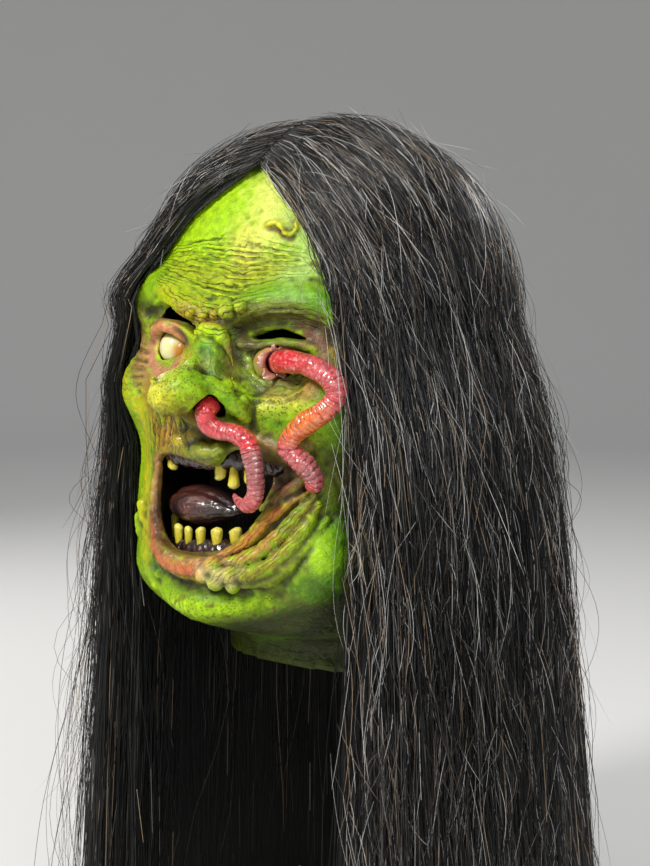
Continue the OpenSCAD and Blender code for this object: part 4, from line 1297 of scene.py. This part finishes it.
def make_torn_rim():
    """Ragged flaps of torn eye skin round the worm, peeled back over the ball."""
    out = WORM_WAY_OUT
    east = np.cross((0, 0, 1), out)
    east /= np.linalg.norm(east)
    north = np.cross(out, east)
    root = np.array(BURST_EYE) + 6.8 * out
    tear = np.random.default_rng(12)
    across, along = 11, 14
    verts, faces, colours = [], [], []
    for n, degrees in enumerate([10, 64, 104, 150, 186, 236, 296]):
        base = math.radians(degrees)
        half = math.radians(tear.uniform(18, 36))
        length = tear.uniform(2.6, 5.4) + (1.6 if n in (1, 3, 5) else 0)
        start_tilt, end_tilt = math.radians(tear.uniform(5, 25)), math.radians(tear.uniform(75, 115))
        lean = tear.uniform(-0.3, 0.3)
        radial, lift, top = 6.7, 0.0, []
        for j in range(along):
            v = j / (along - 1)
            tilt = start_tilt + (end_tilt - start_tilt) * v
            radial += length / along * math.sin(tilt)
            lift += length / along * math.cos(tilt)
            notch = 0.18 * math.sin(11 * v + 2 * n)
            width = half * ((1 - v) ** 0.6 * (1 + notch) + 0.03)
            for i in range(across):
                u = 2 * i / (across - 1) - 1
                a = base + u * width + lean * v
                ruffle = 0.45 * math.sin(5 * u + 3 * n + 4 * v) * v
                aside = math.cos(a) * east + math.sin(a) * north
                top.append(root + (lift + ruffle) * out + radial * aside)
        top = np.array(top).reshape(along, across, 3)
        normal = np.cross(np.gradient(top, axis=0), np.gradient(top, axis=1))
        normal /= np.linalg.norm(normal, axis=-1, keepdims=True) + 1e-9
        thick = (1.1 * (1 - 0.55 * np.linspace(0, 1, along)))[:, None, None]
        both, shell = thick_sheet(top, normal * thick)
        faces.append(shell + sum(len(v) for v in verts))
        verts.append(both)
        towards_tip = np.tile(np.repeat(np.linspace(0, 1, along), across), 2)
        tint = between(towards_tip, (0.66, 0.20, 0.14), (0.82, 0.55, 0.40))
        colours.append(tint * tear.uniform(0.8, 1.1))
    rim = mesh_object("torn_eye_flaps", np.vstack(verts), np.vstack(faces),
                      wet_material("torn_flesh", 0.22), np.vstack(colours))
    face_outward(rim)
    place(rim, "mask", "torn_flesh", "torn_eye_rim")


def thick_sheet(top, offset):
    """A closed thin shell: a grid of points, the same grid moved by offset, and walls round the edge."""
    rows, cols, _ = top.shape
    count = rows * cols
    quads = grid_quads(rows, cols, False)
    border = (list(range(cols)) + [j * cols + cols - 1 for j in range(1, rows)]
              + [count - 1 - i for i in range(1, cols)] + [j * cols for j in range(rows - 2, 0, -1)])
    ahead = border[1:] + border[:1]
    walls = [(a, b, b + count, a + count) for a, b in zip(border, ahead)]
    points = np.concatenate([top.reshape(-1, 3), (top + offset).reshape(-1, 3)])
    return points, np.vstack([quads[:, ::-1], quads + count, walls])


# ---------------------------------------------------------------- worms
def make_worm(name, route, radius_stops, tint_stops, ring_start, body, node):
    """Ringed rubber worm: grooves at an even spacing, fatter between them, with a rounded tip."""
    spacing, fine = 2.7, (0.42)
    _, length = even_line(route, 10)
    count = int(length / fine)
    points, _ = even_line(route, count)
    t = np.linspace(0, 1, count)
    s = t * length
    wander = 0.7 * np.sin(s / 9.0) + 0.5 * np.sin(s / 3.7 + 1)
    phase = (s + wander) / spacing
    bulge = np.abs(np.sin(math.pi * phase))
    strength = step(t, ring_start, ring_start + 0.25)
    radius = np.interp(t, [a for a, _ in radius_stops], [b for _, b in radius_stops])
    cap = np.sqrt(np.clip(1 - (1 - np.clip((length - s) / radius, 0, 1)) ** 2, 0.0004, 1))
    lumps = 1 + 0.05 * np.sin(s / 5.1) + 0.03 * np.sin(s / 2.2)
    radius = radius * cap * (1 - 0.10 * strength * (1 - bulge ** 0.6)) * lumps
    sides = 44

    def ripple(i, a):
        return 1 + 0.030 * np.sin(3 * a + s[i] / 4) + 0.018 * np.sin(7 * a - s[i] / 2.3)

    verts, quads = tube(points, radius, sides, 1.0, ripple)
    verts = np.vstack([verts, points[:1], points[-1:]])
    last = (count - 1) * sides
    ends = []
    for j in range(sides):
        k = (j + 1) % sides
        ends.append((count * sides, k, j, j))
        ends.append((count * sides + 1, last + j, last + k, last + k))
    ring = np.repeat(np.arange(count), sides)
    ring = np.concatenate([ring, [0, count - 1]])
    places = [a for a, _ in tint_stops]
    tints = [np.interp(t, places, [tint[k] for _, tint in tint_stops]) for k in range(3)]
    colour = np.array(tints).T[ring]
    around = np.tile(np.linspace(0, 2 * math.pi, sides, endpoint=False), count)
    around = np.concatenate([around, [0, 0]])
    wash = (0.25 + 0.75 * strength[ring]) * (0.75 + 0.25 * np.sin(around + s[ring] / 11))
    mottle = 0.5 + 0.5 * waves(verts, 5, 9)
    colour = colour * (0.86 + 0.28 * mottle)[:, None]
    quads = [tuple(q) for q in quads] + ends
    worm = triangle_safe(name, verts, quads, worm_material(), colour,
                         {"wash": wash, "ring_number": phase[ring] + 0.12 * np.sin(2 * around + 1)})
    place(worm, body, "worm_rubber", node)


def triangle_safe(name, verts, quads, material, colours, fields):
    """Object from quads of which some repeat their last corner, and so are triangles."""
    mesh = bpy.data.meshes.new(name)
    faces = [q[:3] if q[2] == q[3] else q for q in quads]
    mesh.from_pydata((np.asarray(verts) * MM).tolist(), [], faces)
    mesh.polygons.foreach_set("use_smooth", [True] * len(faces))
    set_paint(mesh, colours)
    set_fields(mesh, fields)
    mesh.materials.append(material)
    obj = bpy.data.objects.new(name, mesh)
    bpy.context.scene.collection.objects.link(obj)
    return obj


def make_worms():
    """The thick worm out of the burst eye and the thinner one, with a pointed tail, out of the nostril."""
    red, pink = (0.72, 0.030, 0.045), (0.62, 0.12, 0.13)
    orange, mauve = (0.82, 0.22, 0.03), (0.44, 0.15, 0.15)
    make_worm("eye_worm_rubber", EYE_WORM_ROUTE,
              [(0, 5.2), (0.08, 5.8), (0.85, 5.7), (0.95, 5.2), (1, 4.6)],
              [(0, red), (0.18, red), (0.3, pink), (0.45, pink), (0.56, orange), (0.68, orange),
               (0.76, pink), (0.92, mauve), (1, red)], 0.18, "eye_worm", "eye_worm")
    make_worm("nose_worm_rubber", NOSE_WORM_ROUTE,
              [(0, 4.8), (0.1, 5.2), (0.6, 5.0), (0.8, 4.4), (0.92, 2.8), (1, 1.0)],
              [(0, red), (0.14, red), (0.3, pink), (0.45, red), (0.52, mauve), (0.66, mauve),
               (0.8, pink), (1, pink)], 0.2, "nose_worm", "nose_worm")


# ---------------------------------------------------------------- mouth parts
# Both gums' line round the mouth, seen from above
GUM_LINE = [(-45, -68), (-41, -82), (-24, -89), (-2, -91), (18, -88), (36, -81), (46, -66)]


def make_gum(name, node, left_z, right_z, radii, sag):
    """Lumpy wet rubber gum round the mouth."""
    count, sides = 220, 36
    route = [(x, y + 2, left_z + (right_z - left_z) * i / 6) for i, (x, y) in enumerate(GUM_LINE)]
    points, _ = even_line(route, count)
    t = np.linspace(0, 1, count)
    radius = np.interp(t, np.linspace(0, 1, len(radii)), radii)
    points[:, 2] += sag * np.interp(t, [0.45, 0.58, 0.68, 0.8], [0, 1, 1, 0])
    radius = radius * np.sqrt(np.clip(np.minimum(t, 1 - t) * 24, 0.02, 1))

    def ripple(i, a):
        s = i * 0.7
        return 1 + 0.06 * np.sin(s * 0.5 + 2 * a) + 0.04 * np.sin(s * 1.1 - 3 * a)

    verts, quads = tube(points, radius, sides, 1.35, ripple)
    colour = between(0.5 + 0.5 * waves(verts, 9, 14), (0.012, 0.007, 0.006), (0.050, 0.020, 0.015))
    gum = mesh_object(name, verts, quads, wet_material("wet_gum", 0.12, 420), colour)
    place(gum, "mask", "wet_gum", node)


def make_tongue():
    """Swollen dark tongue, fat at the far side, pebbled and wet, with a shallow groove."""
    rows, cols = ((110, 150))
    _, quads, way = ball((0, 0, 0), 1.0, rows, cols)
    half = np.array((28.5, 15, 10.8))
    taper = 1 - 0.30 * step(way[:, 0], -0.1, 1.0)
    p = way * half * np.stack([np.ones(len(way)), taper, taper], 1)
    groove = np.exp(-(way[:, 1] + 0.35) ** 2 / 0.02) * step(way[:, 2], 0.1, 0.5)
    p[:, 2] -= 1.1 * groove
    p *= (1 + 0.018 * waves(p, 7, 17) + 0.010 * waves(p, 2.6, 18, 16))[:, None]
    c, s = math.cos(math.radians(8)), math.sin(math.radians(8))
    tilt, turn = [[1, 0, 0], [0, c, s], [0, -s, c]], [[c, -s, 0], [s, c, 0], [0, 0, 1]]
    p = p @ tilt @ turn + (-20, -75, 93.5)
    colour = between(0.5 + 0.5 * waves(p, 14, 19), (0.13, 0.038, 0.028), (0.055, 0.022, 0.020))
    lay(colour, (0.022, 0.016, 0.017), 0.8 * step(way[:, 0], 0.0, 0.7))
    tongue = mesh_object("wet_tongue", p, quads, wet_material("wet_tongue", 0.10, 1200), colour)
    place(tongue, "mask", "wet_tongue", "tongue")


def make_tooth(node, upper, number):
    """One worn peg tooth in the space of its CAD node, flattened and chipped at its tip."""
    low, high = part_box(node)
    low, high = np.array(low) / MM, np.array(high) / MM
    chip = np.random.default_rng(100 + number + (50 if upper else 0))
    rows, cols = 26, 32
    t = np.linspace(0, 1, rows)
    centre = (low + high) / 2
    half_w, half_d, _ = (high - low) / 2
    root_z, tip_z = (high[2], low[2]) if upper else (low[2], high[2])
    if upper:
        wide = [0.72, 0.90, 1.0, 0.98, 0.80] if number != 4 else [0.30, 0.55, 0.85, 1.05, 0.85]
    else:
        wide = [0.55, 0.72, 0.98, 1.10, 0.95]
    dome = 0.86
    profile = np.interp(t, [0, 0.3, 0.6, dome, 1], wide)
    crown = np.sqrt(np.clip(1 - ((t - dome) / (1 - dome)).clip(0, 1) ** 2, 0.002, 1))
    a = np.linspace(0, 2 * math.pi, cols, endpoint=False)
    z = root_z + (tip_z - root_z) * t
    x = centre[0] + half_w * (profile * crown)[:, None] * np.cos(a)
    y = centre[1] + half_d * 0.85 * (profile * crown)[:, None] * np.sin(a)
    tilt = chip.uniform(-0.35, 0.35)
    worn = tilt * (x - centre[0]) * step(t, 0.6, 1.0)[:, None]
    p = np.stack([x, y, z[:, None] + worn], -1).reshape(-1, 3)
    p += 0.10 * np.stack([waves(p, 3, 30 + number), waves(p, 3, 60 + number), 0 * p[:, 0]], 1)
    quads = grid_quads(rows, cols, True)
    if not upper:
        quads = quads[:, ::-1]
    up_tooth = np.repeat(t, cols)[:, None]
    yellow, brown = np.array((0.80, 0.68, 0.045)), np.array((0.20, 0.12, 0.012))
    colour = yellow * chip.uniform(0.85, 1.0) + (brown - yellow) * np.clip(1 - up_tooth * 3.2, 0, 1)
    lay(colour, (0.86, 0.80, 0.18), 0.5 * step(up_tooth, 0.6, 0.95))
    tooth = mesh_object(node + "_enamel", p, quads, TOOTH, colour)
    place(tooth, "mask", "old_tooth", node)


def make_scrim():
    """Black gauze stretched behind the mouth, an arc about the head."""
    radius, centre, half_angle, low, high, thick = 78.4, (3, 18), 42, 62, 132, 0.5
    rows, cols = 40, 90
    a = np.radians(np.linspace(-half_angle, half_angle, cols))[None, :]
    z = np.linspace(low, high, rows)[:, None]
    dip = 0.8 * np.sin((z - low) / (high - low) * math.pi) * np.cos(a * 2)

    r = radius - thick / 2 - dip
    front = np.stack([centre[0] + r * np.sin(a), centre[1] - r * np.cos(a), z * np.ones_like(a)], -1)
    outward = np.stack([np.sin(a), -np.cos(a), 0 * a], -1) * np.ones((rows, 1, 1))
    points, faces = thick_sheet(front, thick * outward)
    scrim = mesh_object("mouth_gauze", points, faces, net_material())
    face_outward(scrim)
    place(scrim, "mask", "black_gauze", "mouth_scrim")


def make_mouth():
    """Everything set in behind the lips."""
    make_gum("upper_gum_rubber", "upper_gum", 122, 121, [3, 4.5, 4.4, 4.6, 5.6, 5.4, 3], 2.5)
    make_gum("lower_gum_rubber", "lower_gum", 67, 78, [3, 4.4, 4.6, 4.8, 5.0, 4.6, 3], 0)
    make_tongue()
    for i in range(1, 6):
        make_tooth(f"upper_tooth_{i}", True, i)
    for i in range(1, 7):
        make_tooth(f"lower_tooth_{i}", False, i)
    make_scrim()


# ---------------------------------------------------------------- wig
# Height where hair starts to hang, Y of the middle of the hanging hair, and its length below the neck rim
HAIR_TOP, HAIR_CENTRE, HAIR_DROP = 192, 12, 200
# Angles from the face at which the side curtains start and end
FRONT_EDGE, SIDE_BACK = 44, 140
# Shares of the fibre shades black, soot, grey, silver and tan; silver appears only as painted glint and
# sheen
STRAND_SHARES, STRAY_SHARES, BROKEN_GLINT_SHARES = (
    [0.66, 0.28, 0.04, 0.0, 0.02], [0.42, 0.40, 0.14, 0.0, 0.04], [0.0, 0.12, 0.34, 0.38, 0.16])
HIGHLIGHT_SHADES = [2, 3, 4]


class Crown:
    """The casting's crown seen from a point inside it, so that hair can be laid over it by direction."""
    eye = np.array((0.0, 10.0, 190.0))

    def __init__(self):
        az, el = np.meshgrid(np.linspace(-180, 180, 121), np.linspace(0, 90, 46), indexing="ij")
        way = direction(az, el)
        near, far = np.full(az.shape, 5.0), np.full(az.shape, 150.0)
        for _ in range(22):
            middle = (near + far) / 2
            p = self.eye + middle[..., None] * way
            z = np.minimum(p[..., 2], CROWN_TOP)
            front, _, back = head_row(z)
            centre = (front + back) / 2
            angle = np.degrees(np.arctan2(p[..., 0], centre - p[..., 1]))
            r, _ = head_radius(angle, z)
            shrink = 4 * np.maximum(p[..., 2] - CROWN_TOP, 0)
            beyond = np.hypot(p[..., 0], centre - p[..., 1]) > r - shrink
            far = np.where(beyond, middle, far)
            near = np.where(beyond, near, middle)
        self.reach = near

    def place(self, way, out):
        """Points a distance out from the casting along unit directions."""
        az = np.degrees(np.arctan2(way[..., 0], -way[..., 1]))
        el = np.degrees(np.arcsin(np.clip(way[..., 2], 0, 1)))
        i = np.clip((az + 180) / 3, 0, 119.999)
        j = np.clip(el / 2, 0, 44.999)
        a, b = i.astype(int), j.astype(int)
        u, v = i - a, j - b
        reach = ((1 - u) * (1 - v) * self.reach[a, b] + u * (1 - v) * self.reach[a + 1, b]
                 + (1 - u) * v * self.reach[a, b + 1] + u * v * self.reach[a + 1, b + 1])
        return self.eye + way * (reach + out)[..., None]


def direction(azimuth, elevation):
    """Unit vectors; azimuth 0 looks along -Y and grows towards +X."""
    a, e = np.radians(azimuth), np.radians(elevation)
    return np.stack([np.sin(a) * np.cos(e), -np.cos(a) * np.cos(e), np.sin(e)], -1)


def skirt_place(angle, s, depth):
    """Points in the hanging hair: s from its top to its ends, depth from its inside to its outside."""
    z = HAIR_TOP - s * (HAIR_TOP + HAIR_DROP)
    spread = 42 * np.clip(s, 0, 1) ** 0.8
    inner = oval(angle, 93 + spread / 3, 101 + spread / 3)
    outer = oval(angle, 109 + spread, 115 + spread)
    r, centre = head_radius(angle, np.maximum(z, 20))
    a = np.radians(angle)
    x, y = (r + 5) * np.sin(a), centre - (r + 5) * np.cos(a) - HAIR_CENTRE
    inner = np.maximum(inner, np.where(z > 20, np.hypot(x, y), 0))
    r = inner + depth * np.maximum(outer - inner, 0)
    return np.stack([r * np.sin(a), HAIR_CENTRE - r * np.cos(a), z], -1)


def strand_paths(angle, depth, top_out, drift, length, steps_up, steps_down, start_share):
    """Centre lines of strands, from the parting over the crown and down; angles are signed.

    On the crown a strand is an arc between two directions from the crown's centre; below it hangs,
    and its first tenth eases the one into the other.
    """
    sign, a = np.sign(angle), np.abs(angle)
    rise = np.interp(a, [44, 70, 100, 140, 180], [53, 72, 93, 118, 134])
    first = np.stack([0.02 * sign, -np.cos(np.radians(rise)), np.sin(np.radians(rise))], -1)
    forward = np.interp(a, [FRONT_EDGE, 75], [3.5, 0])
    last = direction(angle - sign * forward, np.zeros(len(angle)))
    turn = np.arccos(np.clip((first * last).sum(-1), -1, 1))[:, None]
    w = np.linspace(0, 1, steps_up)[None, :]
    w = start_share[:, None] + (1 - start_share[:, None]) * w
    way = (np.sin((1 - w) * turn)[..., None] * first[:, None]
           + np.sin(w * turn)[..., None] * last[:, None]) / np.sin(turn)[..., None]
    bow = np.radians(5.0) * np.interp(a, [44, 110], [1, 0])[:, None] * np.sin(math.pi * w) * sign[:, None]
    c, s = np.cos(bow), np.sin(bow)
    way = np.stack([way[..., 0] * c - way[..., 1] * s, way[..., 0] * s + way[..., 1] * c, way[..., 2]], -1)
    out = np.interp(w, [0, 0.12, 1], [4.0, 5.8, 7.5]) + top_out[:, None]
    up = CROWN.place(way, out)
    s = np.linspace(0, 1, steps_down)[None, :] * length[:, None]
    fall = sign[:, None] * (a[:, None] + drift[:, None] * s)
    down = skirt_place(fall, s, depth[:, None])
    shift = (up[:, -1:, :] - down[:, :1, :]) * np.exp(-(s / 0.10) ** 1.3)[..., None]
    return np.concatenate([up[:, :-1], down + shift], axis=1)


def strand_tubes(paths, radius):
    """Three-sided closed tubes along many paths at once."""
    n, k, _ = paths.shape
    ahead = np.gradient(paths, axis=1)
    ahead /= np.linalg.norm(ahead, axis=2, keepdims=True) + 1e-9
    outward = paths - np.array((0, HAIR_CENTRE, 0))
    outward[..., 2] = 0
    side = np.cross(ahead, outward)
    side /= np.linalg.norm(side, axis=2, keepdims=True) + 1e-9
    up = np.cross(side, ahead)
    taper = np.interp(np.linspace(0, 1, k), [0, 0.04, 0.9, 1], [0.5, 1, 0.9, 0.25])
    r = radius[:, None, None] * taper[None, :, None]
    rings = [paths + r * (math.cos(q) * up + math.sin(q) * side)
             for q in (0, 2 * math.pi / 3, 4 * math.pi / 3)]
    verts = np.stack(rings, axis=2).reshape(-1, 3)
    i = np.arange(n)[:, None, None] * (3 * k)
    j = np.arange(k - 1)[None, :, None] * 3
    c = np.arange(3)[None, None, :]
    d = (c + 1) % 3
    a0, b0 = i + j + c, i + j + d
    quads = np.stack([a0, b0, b0 + 3, a0 + 3], -1).reshape(-1, 4)
    return verts, quads


def waviness(paths, size, wavelength, seed):
    """Moves each strand sideways a little along its length, more towards its end."""
    r = np.random.default_rng(seed)
    n, k, _ = paths.shape
    along = np.linspace(0, 1, k)[None, :]
    shift = np.zeros((n, k, 3))
    for octave in (1.0, 2.3):
        phase = r.uniform(0, 2 * math.pi, (n, 1))
        rate = 400 / (wavelength / octave) * r.uniform(0.7, 1.3, (n, 1))
        push = r.normal(size=(n, 1, 3)) * (1, 1, 0.15)
        shift += push * (np.sin(2 * math.pi * along * rate + phase) / octave)[..., None]
    return paths + size[:, None, None] * shift * (0.15 + along ** 0.8)[..., None]


def make_strands(name, body, count, angles, seed, spread, widest, reach=0.935):
    """Loose strands of one curtain in locks; short lengths of some strands are painted pale as glints, and
    some are painted pale over the crown as sheen.

    spread is how much they wave, widest how far out the outer ones lie, reach how far down they end.
    """
    r = np.random.default_rng(seed)
    low, high = angles
    strands_per_lock = 22
    locks = int(count / strands_per_lock)
    lock_angle = r.uniform(low, high, locks)
    lock_depth = widest * (1.07 * r.uniform(0, 1, locks) ** 0.7 - 0.07)
    lock_drift = r.normal(0, 3.0, locks)
    mine = r.integers(0, locks, count)
    angle = np.clip(lock_angle[mine] + r.normal(0, 2.4, count), low, high)
    depth = np.clip(lock_depth[mine] + r.normal(0, 0.07, count), -0.08, 1.06)
    stray = np.where(r.uniform(0, 1, count) < 0.2, 6.0, 1.2)
    drift = lock_drift[mine] + (lock_angle[mine] - angle) * 0.75 + stray * r.normal(0, 1, count)
    length = np.clip(r.normal(reach, 0.7 * (1 - reach), count), 0.72, 1.0)
    top_out = 5.0 * depth * r.uniform(0.5, 1.0, count)
    buried = r.uniform(0, 1, count) < 0.35  # these come out from under the others
    start = np.where(buried, r.uniform(0.1, 0.75, count), r.uniform(0, 0.04, count))
    paths = strand_paths(angle, depth, top_out, drift, length, 9, 12, start)
    size = np.where(r.uniform(0, 1, count) < 0.15, r.uniform(2.0, 6.0, count), r.uniform(0.3, 1.4, count))
    paths = waviness(paths, size * spread, 260, seed + 1)
    thickness = r.uniform(0.17, 0.30, count) * 1.0
    fibres(name, body, paths, thickness, r, STRAND_SHARES, 0.40, 0.35)


def fibres(name, body, paths, thickness, r, shares, glints, sheen=0.0):
    """One piece of hair: a tube for each path, a shade for each, and painted glints on some.

    glints is the share of strands with short lengths painted pale as glints, sheen the share painted pale
    over the crown as sheen.
    """
    verts, quads = strand_tubes(paths, thickness)
    obj = mesh_object(name, verts, quads, SHADES)
    count, steps = len(paths), paths.shape[1] - 1
    shade = np.repeat(r.choice(5, count, p=shares)[:, None], steps, axis=1)
    # painted sheen: pale lengths over the crown on some strands
    pale = (r.uniform(0, 1, count) < sheen)[:, None]
    begin, run = r.integers(0, 4, count)[:, None], r.integers(2, 5, count)[:, None]
    at = np.arange(steps)[None, :]
    crown_sheen_tone = r.choice(HIGHLIGHT_SHADES, count, p=[0.5, 0.2, 0.3])[:, None]
    shade = np.where(pale & (at >= begin) & (at < begin + run), crown_sheen_tone, shade)
    # painted glints: short pale lengths on some strands
    for _ in range(2):
        lit = r.uniform(0, 1, count) < glints
        at = (steps * r.uniform(0, 1, count) ** 1.5).astype(int)
        tone = r.choice(HIGHLIGHT_SHADES, count, p=[0.74, 0.10, 0.16])
        shade[lit, at[lit]] = tone[lit]
    obj.data.polygons.foreach_set("material_index", np.repeat(shade.ravel(), 3).astype(np.int32))
    settle(obj, body)


def settle(obj, body):
    """Hair of the mask rides on it; any other hair only has its placement baked into its points."""
    if body == "mask":
        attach(obj, body)
        return
    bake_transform(obj)


def make_mass(name, body, nodes, low, high, thick, length=0.965, ragged=0.02):
    """The bulk of one curtain: a closed ridged sheet of hair from the crown to near the ends."""
    cols, rows_up, rows_down = ((200, 36, 50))
    angle = np.linspace(low, high, cols)
    ridge = np.random.default_rng(77).normal(size=cols + 4)
    ridge = np.convolve(ridge, [0.1, 0.3, 0.2, 0.3, 0.1], "valid")
    thin_edge = np.interp(np.abs(angle), [FRONT_EDGE, FRONT_EDGE + 16], [0.05, 1])
    layers = []
    for depth, out in ((thick, 1.2), (0.06, -3.2)):
        paths = strand_paths(angle, depth * thin_edge, out * thin_edge, np.zeros(cols),
                             length + ragged * ridge, rows_up, rows_down, np.zeros(cols))
        layers.append(np.swapaxes(paths, 0, 1))
    outer, inner = layers
    taper = np.interp(np.linspace(0, 1, len(outer)), [0, 0.7, 1], [1, 1, 0.08])[:, None, None]
    outer = inner + (outer - inner) * taper
    away = outer - np.array((0, HAIR_CENTRE, 0))
    away[..., 2] = 0
    away /= np.linalg.norm(away, axis=-1, keepdims=True) + 1e-9
    deeper = np.linspace(0.2, 1, len(outer))[:, None, None]
    outer = outer + away * (2.2 * ridge * thin_edge)[None, :, None] * deeper * taper
    points, faces = thick_sheet(outer, inner - outer)
    obj = mesh_object(name, points, faces, HAIR_BULK)
    face_outward(obj)
    settle(obj, body)
    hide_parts(*nodes)


def make_flyaways(name, body, count, angles, seed, wild):
    """Single stray fibres that stand off the hair in long loose curves."""
    r = np.random.default_rng(seed)
    low, high = angles
    angle = r.uniform(low, high, count)
    start = r.uniform(0.0, 0.6, count)
    paths = strand_paths(angle, r.uniform(0.7, 1.05, count), r.uniform(2, 7, count), r.normal(0, 9, count),
                         r.uniform(0.3, 0.98, count), 12, 30, start)
    paths = waviness(paths, r.uniform(2, wild, count), 280, seed + 1)
    fibres(name, body, paths, r.uniform(0.12, 0.20, count) * (1.0), r,
           STRAY_SHARES, 0.9)


def make_broken_hairs(name, body, count, angles, seed):
    """Short broken fibres that lie across the hair at odd angles, mostly painted pale as glints."""
    r = np.random.default_rng(seed)
    steps_up, steps_down, kept = 12, 26, 8
    whole = strand_paths(r.uniform(*angles, count), r.uniform(0.80, 1.05, count),
                         r.uniform(3.0, 5.5, count), np.zeros(count), np.full(count, 0.97),
                         steps_up, steps_down, np.zeros(count))
    t = np.linspace(0, 1, kept)[None, :]
    from_share, span = r.uniform(0.02, 0.86, (count, 1)), r.uniform(0.02, 0.14, (count, 1))
    at = (from_share + span * t) * (steps_up + steps_down - 2)
    i = at.astype(int)
    row = np.arange(count)[:, None]
    paths = whole[row, i] + (at - i)[..., None] * (whole[row, i + 1] - whole[row, i])
    loose = 60 * span[..., None]
    paths += loose * r.normal(0, 1.6, (count, 1, 3)) * (t - 0.4)[..., None]
    paths += loose * r.normal(0, 1.8, (count, 1, 3)) * (t * (1 - t))[..., None]
    fibres(name, body, paths, r.uniform(0.07, 0.15, count) * (1.0), r,
           BROKEN_GLINT_SHARES, 0)


def make_wig():
    """Bulk, strands, stray and broken fibres of the three curtains, each running up over the crown."""
    per_piece = 1600
    left, right = (-SIDE_BACK, -FRONT_EDGE), (FRONT_EDGE, SIDE_BACK)
    back_left, back_right = (-179.9, -SIDE_BACK), (SIDE_BACK, 179.9)
    make_mass("hair_bulk_left", "hair_left", ["hair_left", "crown_hair_left"], *left, 0.35)
    make_mass("hair_bulk_right", "hair_right", ["hair_right", "crown_hair_right"], *right, 0.6)
    make_mass("hair_bulk_back_left", "hair_back", ["hair_back"], *back_left, 0.6, 0.985, 0.012)
    make_mass("hair_bulk_back_right", "hair_back", ["crown_hair_back"], *back_right, 0.6, 0.985, 0.012)
    for part in (1, 2):
        make_strands(f"strands_left_{part}", "hair_left", per_piece, left, 40 + part, 1.8, 0.65)
    for part in (1, 2, 3):
        make_strands(f"strands_right_{part}", "hair_right", per_piece, right, 50 + part, 1.3, 1.0)
    make_strands("strands_back_left", "hair_back", per_piece, back_left, 60, 1.0, 1.0, 0.99)
    make_strands("strands_back_right", "hair_back", per_piece, back_right, 61, 1.0, 1.0, 0.99)
    make_flyaways("flyaways_left", "hair_left", 480, left, 70, 13)
    make_flyaways("flyaways_right", "hair_right", 620, right, 71, 9)
    make_flyaways("flyaways_back", "hair_back", 260, (SIDE_BACK, 180), 72, 8)
    left_edge, right_edge = (-FRONT_EDGE - 8, 1.5 - FRONT_EDGE), (FRONT_EDGE - 1.5, FRONT_EDGE + 8)
    make_strands("strands_left_edge", "hair_left", per_piece // 3, left_edge, 90, 1.5, 0.5)
    make_strands("strands_right_edge", "hair_right", per_piece // 3, right_edge, 91, 1.5, 0.5)
    make_strands("under_hair_left", "mask", per_piece // 4, (-160, -120), 95, 1.0, 0.45)
    make_strands("under_hair_right", "mask", per_piece // 4, (120, 160), 96, 1.0, 0.45)
    make_broken_hairs("broken_hairs_left", "hair_left", 1100, left, 80)
    make_broken_hairs("broken_hairs_right", "hair_right", 2400, right, 81)
    make_broken_hairs("broken_hairs_temple", "hair_right", 1000, (FRONT_EDGE - 5, FRONT_EDGE + 34), 83)
    make_broken_hairs("broken_hairs_back", "hair_back", 400, (SIDE_BACK, 180), 82)


def finish_cap():
    """The cap, wefts and parting strip keep their CAD shapes and get their cloth."""
    tape = Graph("weft_tape", {"Roughness": 0.8, "Sheen Weight": 0.2})
    stitch = tape.add("TexWave", {"Vector": tape.where(), "Scale": 240, "Distortion": 1.0}).outputs["Fac"]
    tape.set("Base Color", tape.mix(stitch, (0.010, 0.008, 0.007, 1), (0.045, 0.034, 0.028, 1)))
    tape.bump([(stitch, 0.5, 0.0004)])
    lace = Graph("scalp_lace", {"Roughness": 0.7})
    dots = lace.add("TexVoronoi", {"Vector": lace.where(), "Scale": 900}).outputs["Distance"]
    roots = lace.ramp(dots, 0.15, 0.35)
    lace.set("Base Color", lace.mix(roots, (0.03, 0.022, 0.018, 1), (0.22, 0.17, 0.12, 1)))
    lace.bump([(dots, 0.4, 0.0003)])
    for node, mat in (("wig_cap", net_material()), ("weft_tracks", tape.mat), ("parting_strip", lace.mat)):
        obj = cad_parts[node]
        obj.data.materials.clear()
        obj.data.materials.append(mat)


TOOTH = tooth_material()
CROWN = Crown()
SHADES = [strand_material("fibre_black", (0.004, 0.004, 0.004), 0.36),
          strand_material("fibre_soot", (0.012, 0.011, 0.011), 0.32),
          strand_material("fibre_grey_and_highlight", (0.11, 0.105, 0.10), 0.28),
          strand_material("fibre_silver_highlight", (0.66, 0.65, 0.62), 0.25),
          strand_material("fibre_tan_and_highlight", (0.36, 0.26, 0.17), 0.30)]
HAIR_BULK = hair_mass_material()
make_camera()
make_light()
make_stage()
make_skin()
make_milky_eye()
make_burst_eye()
make_torn_rim()
make_worms()
make_mouth()
finish_cap()
make_wig()
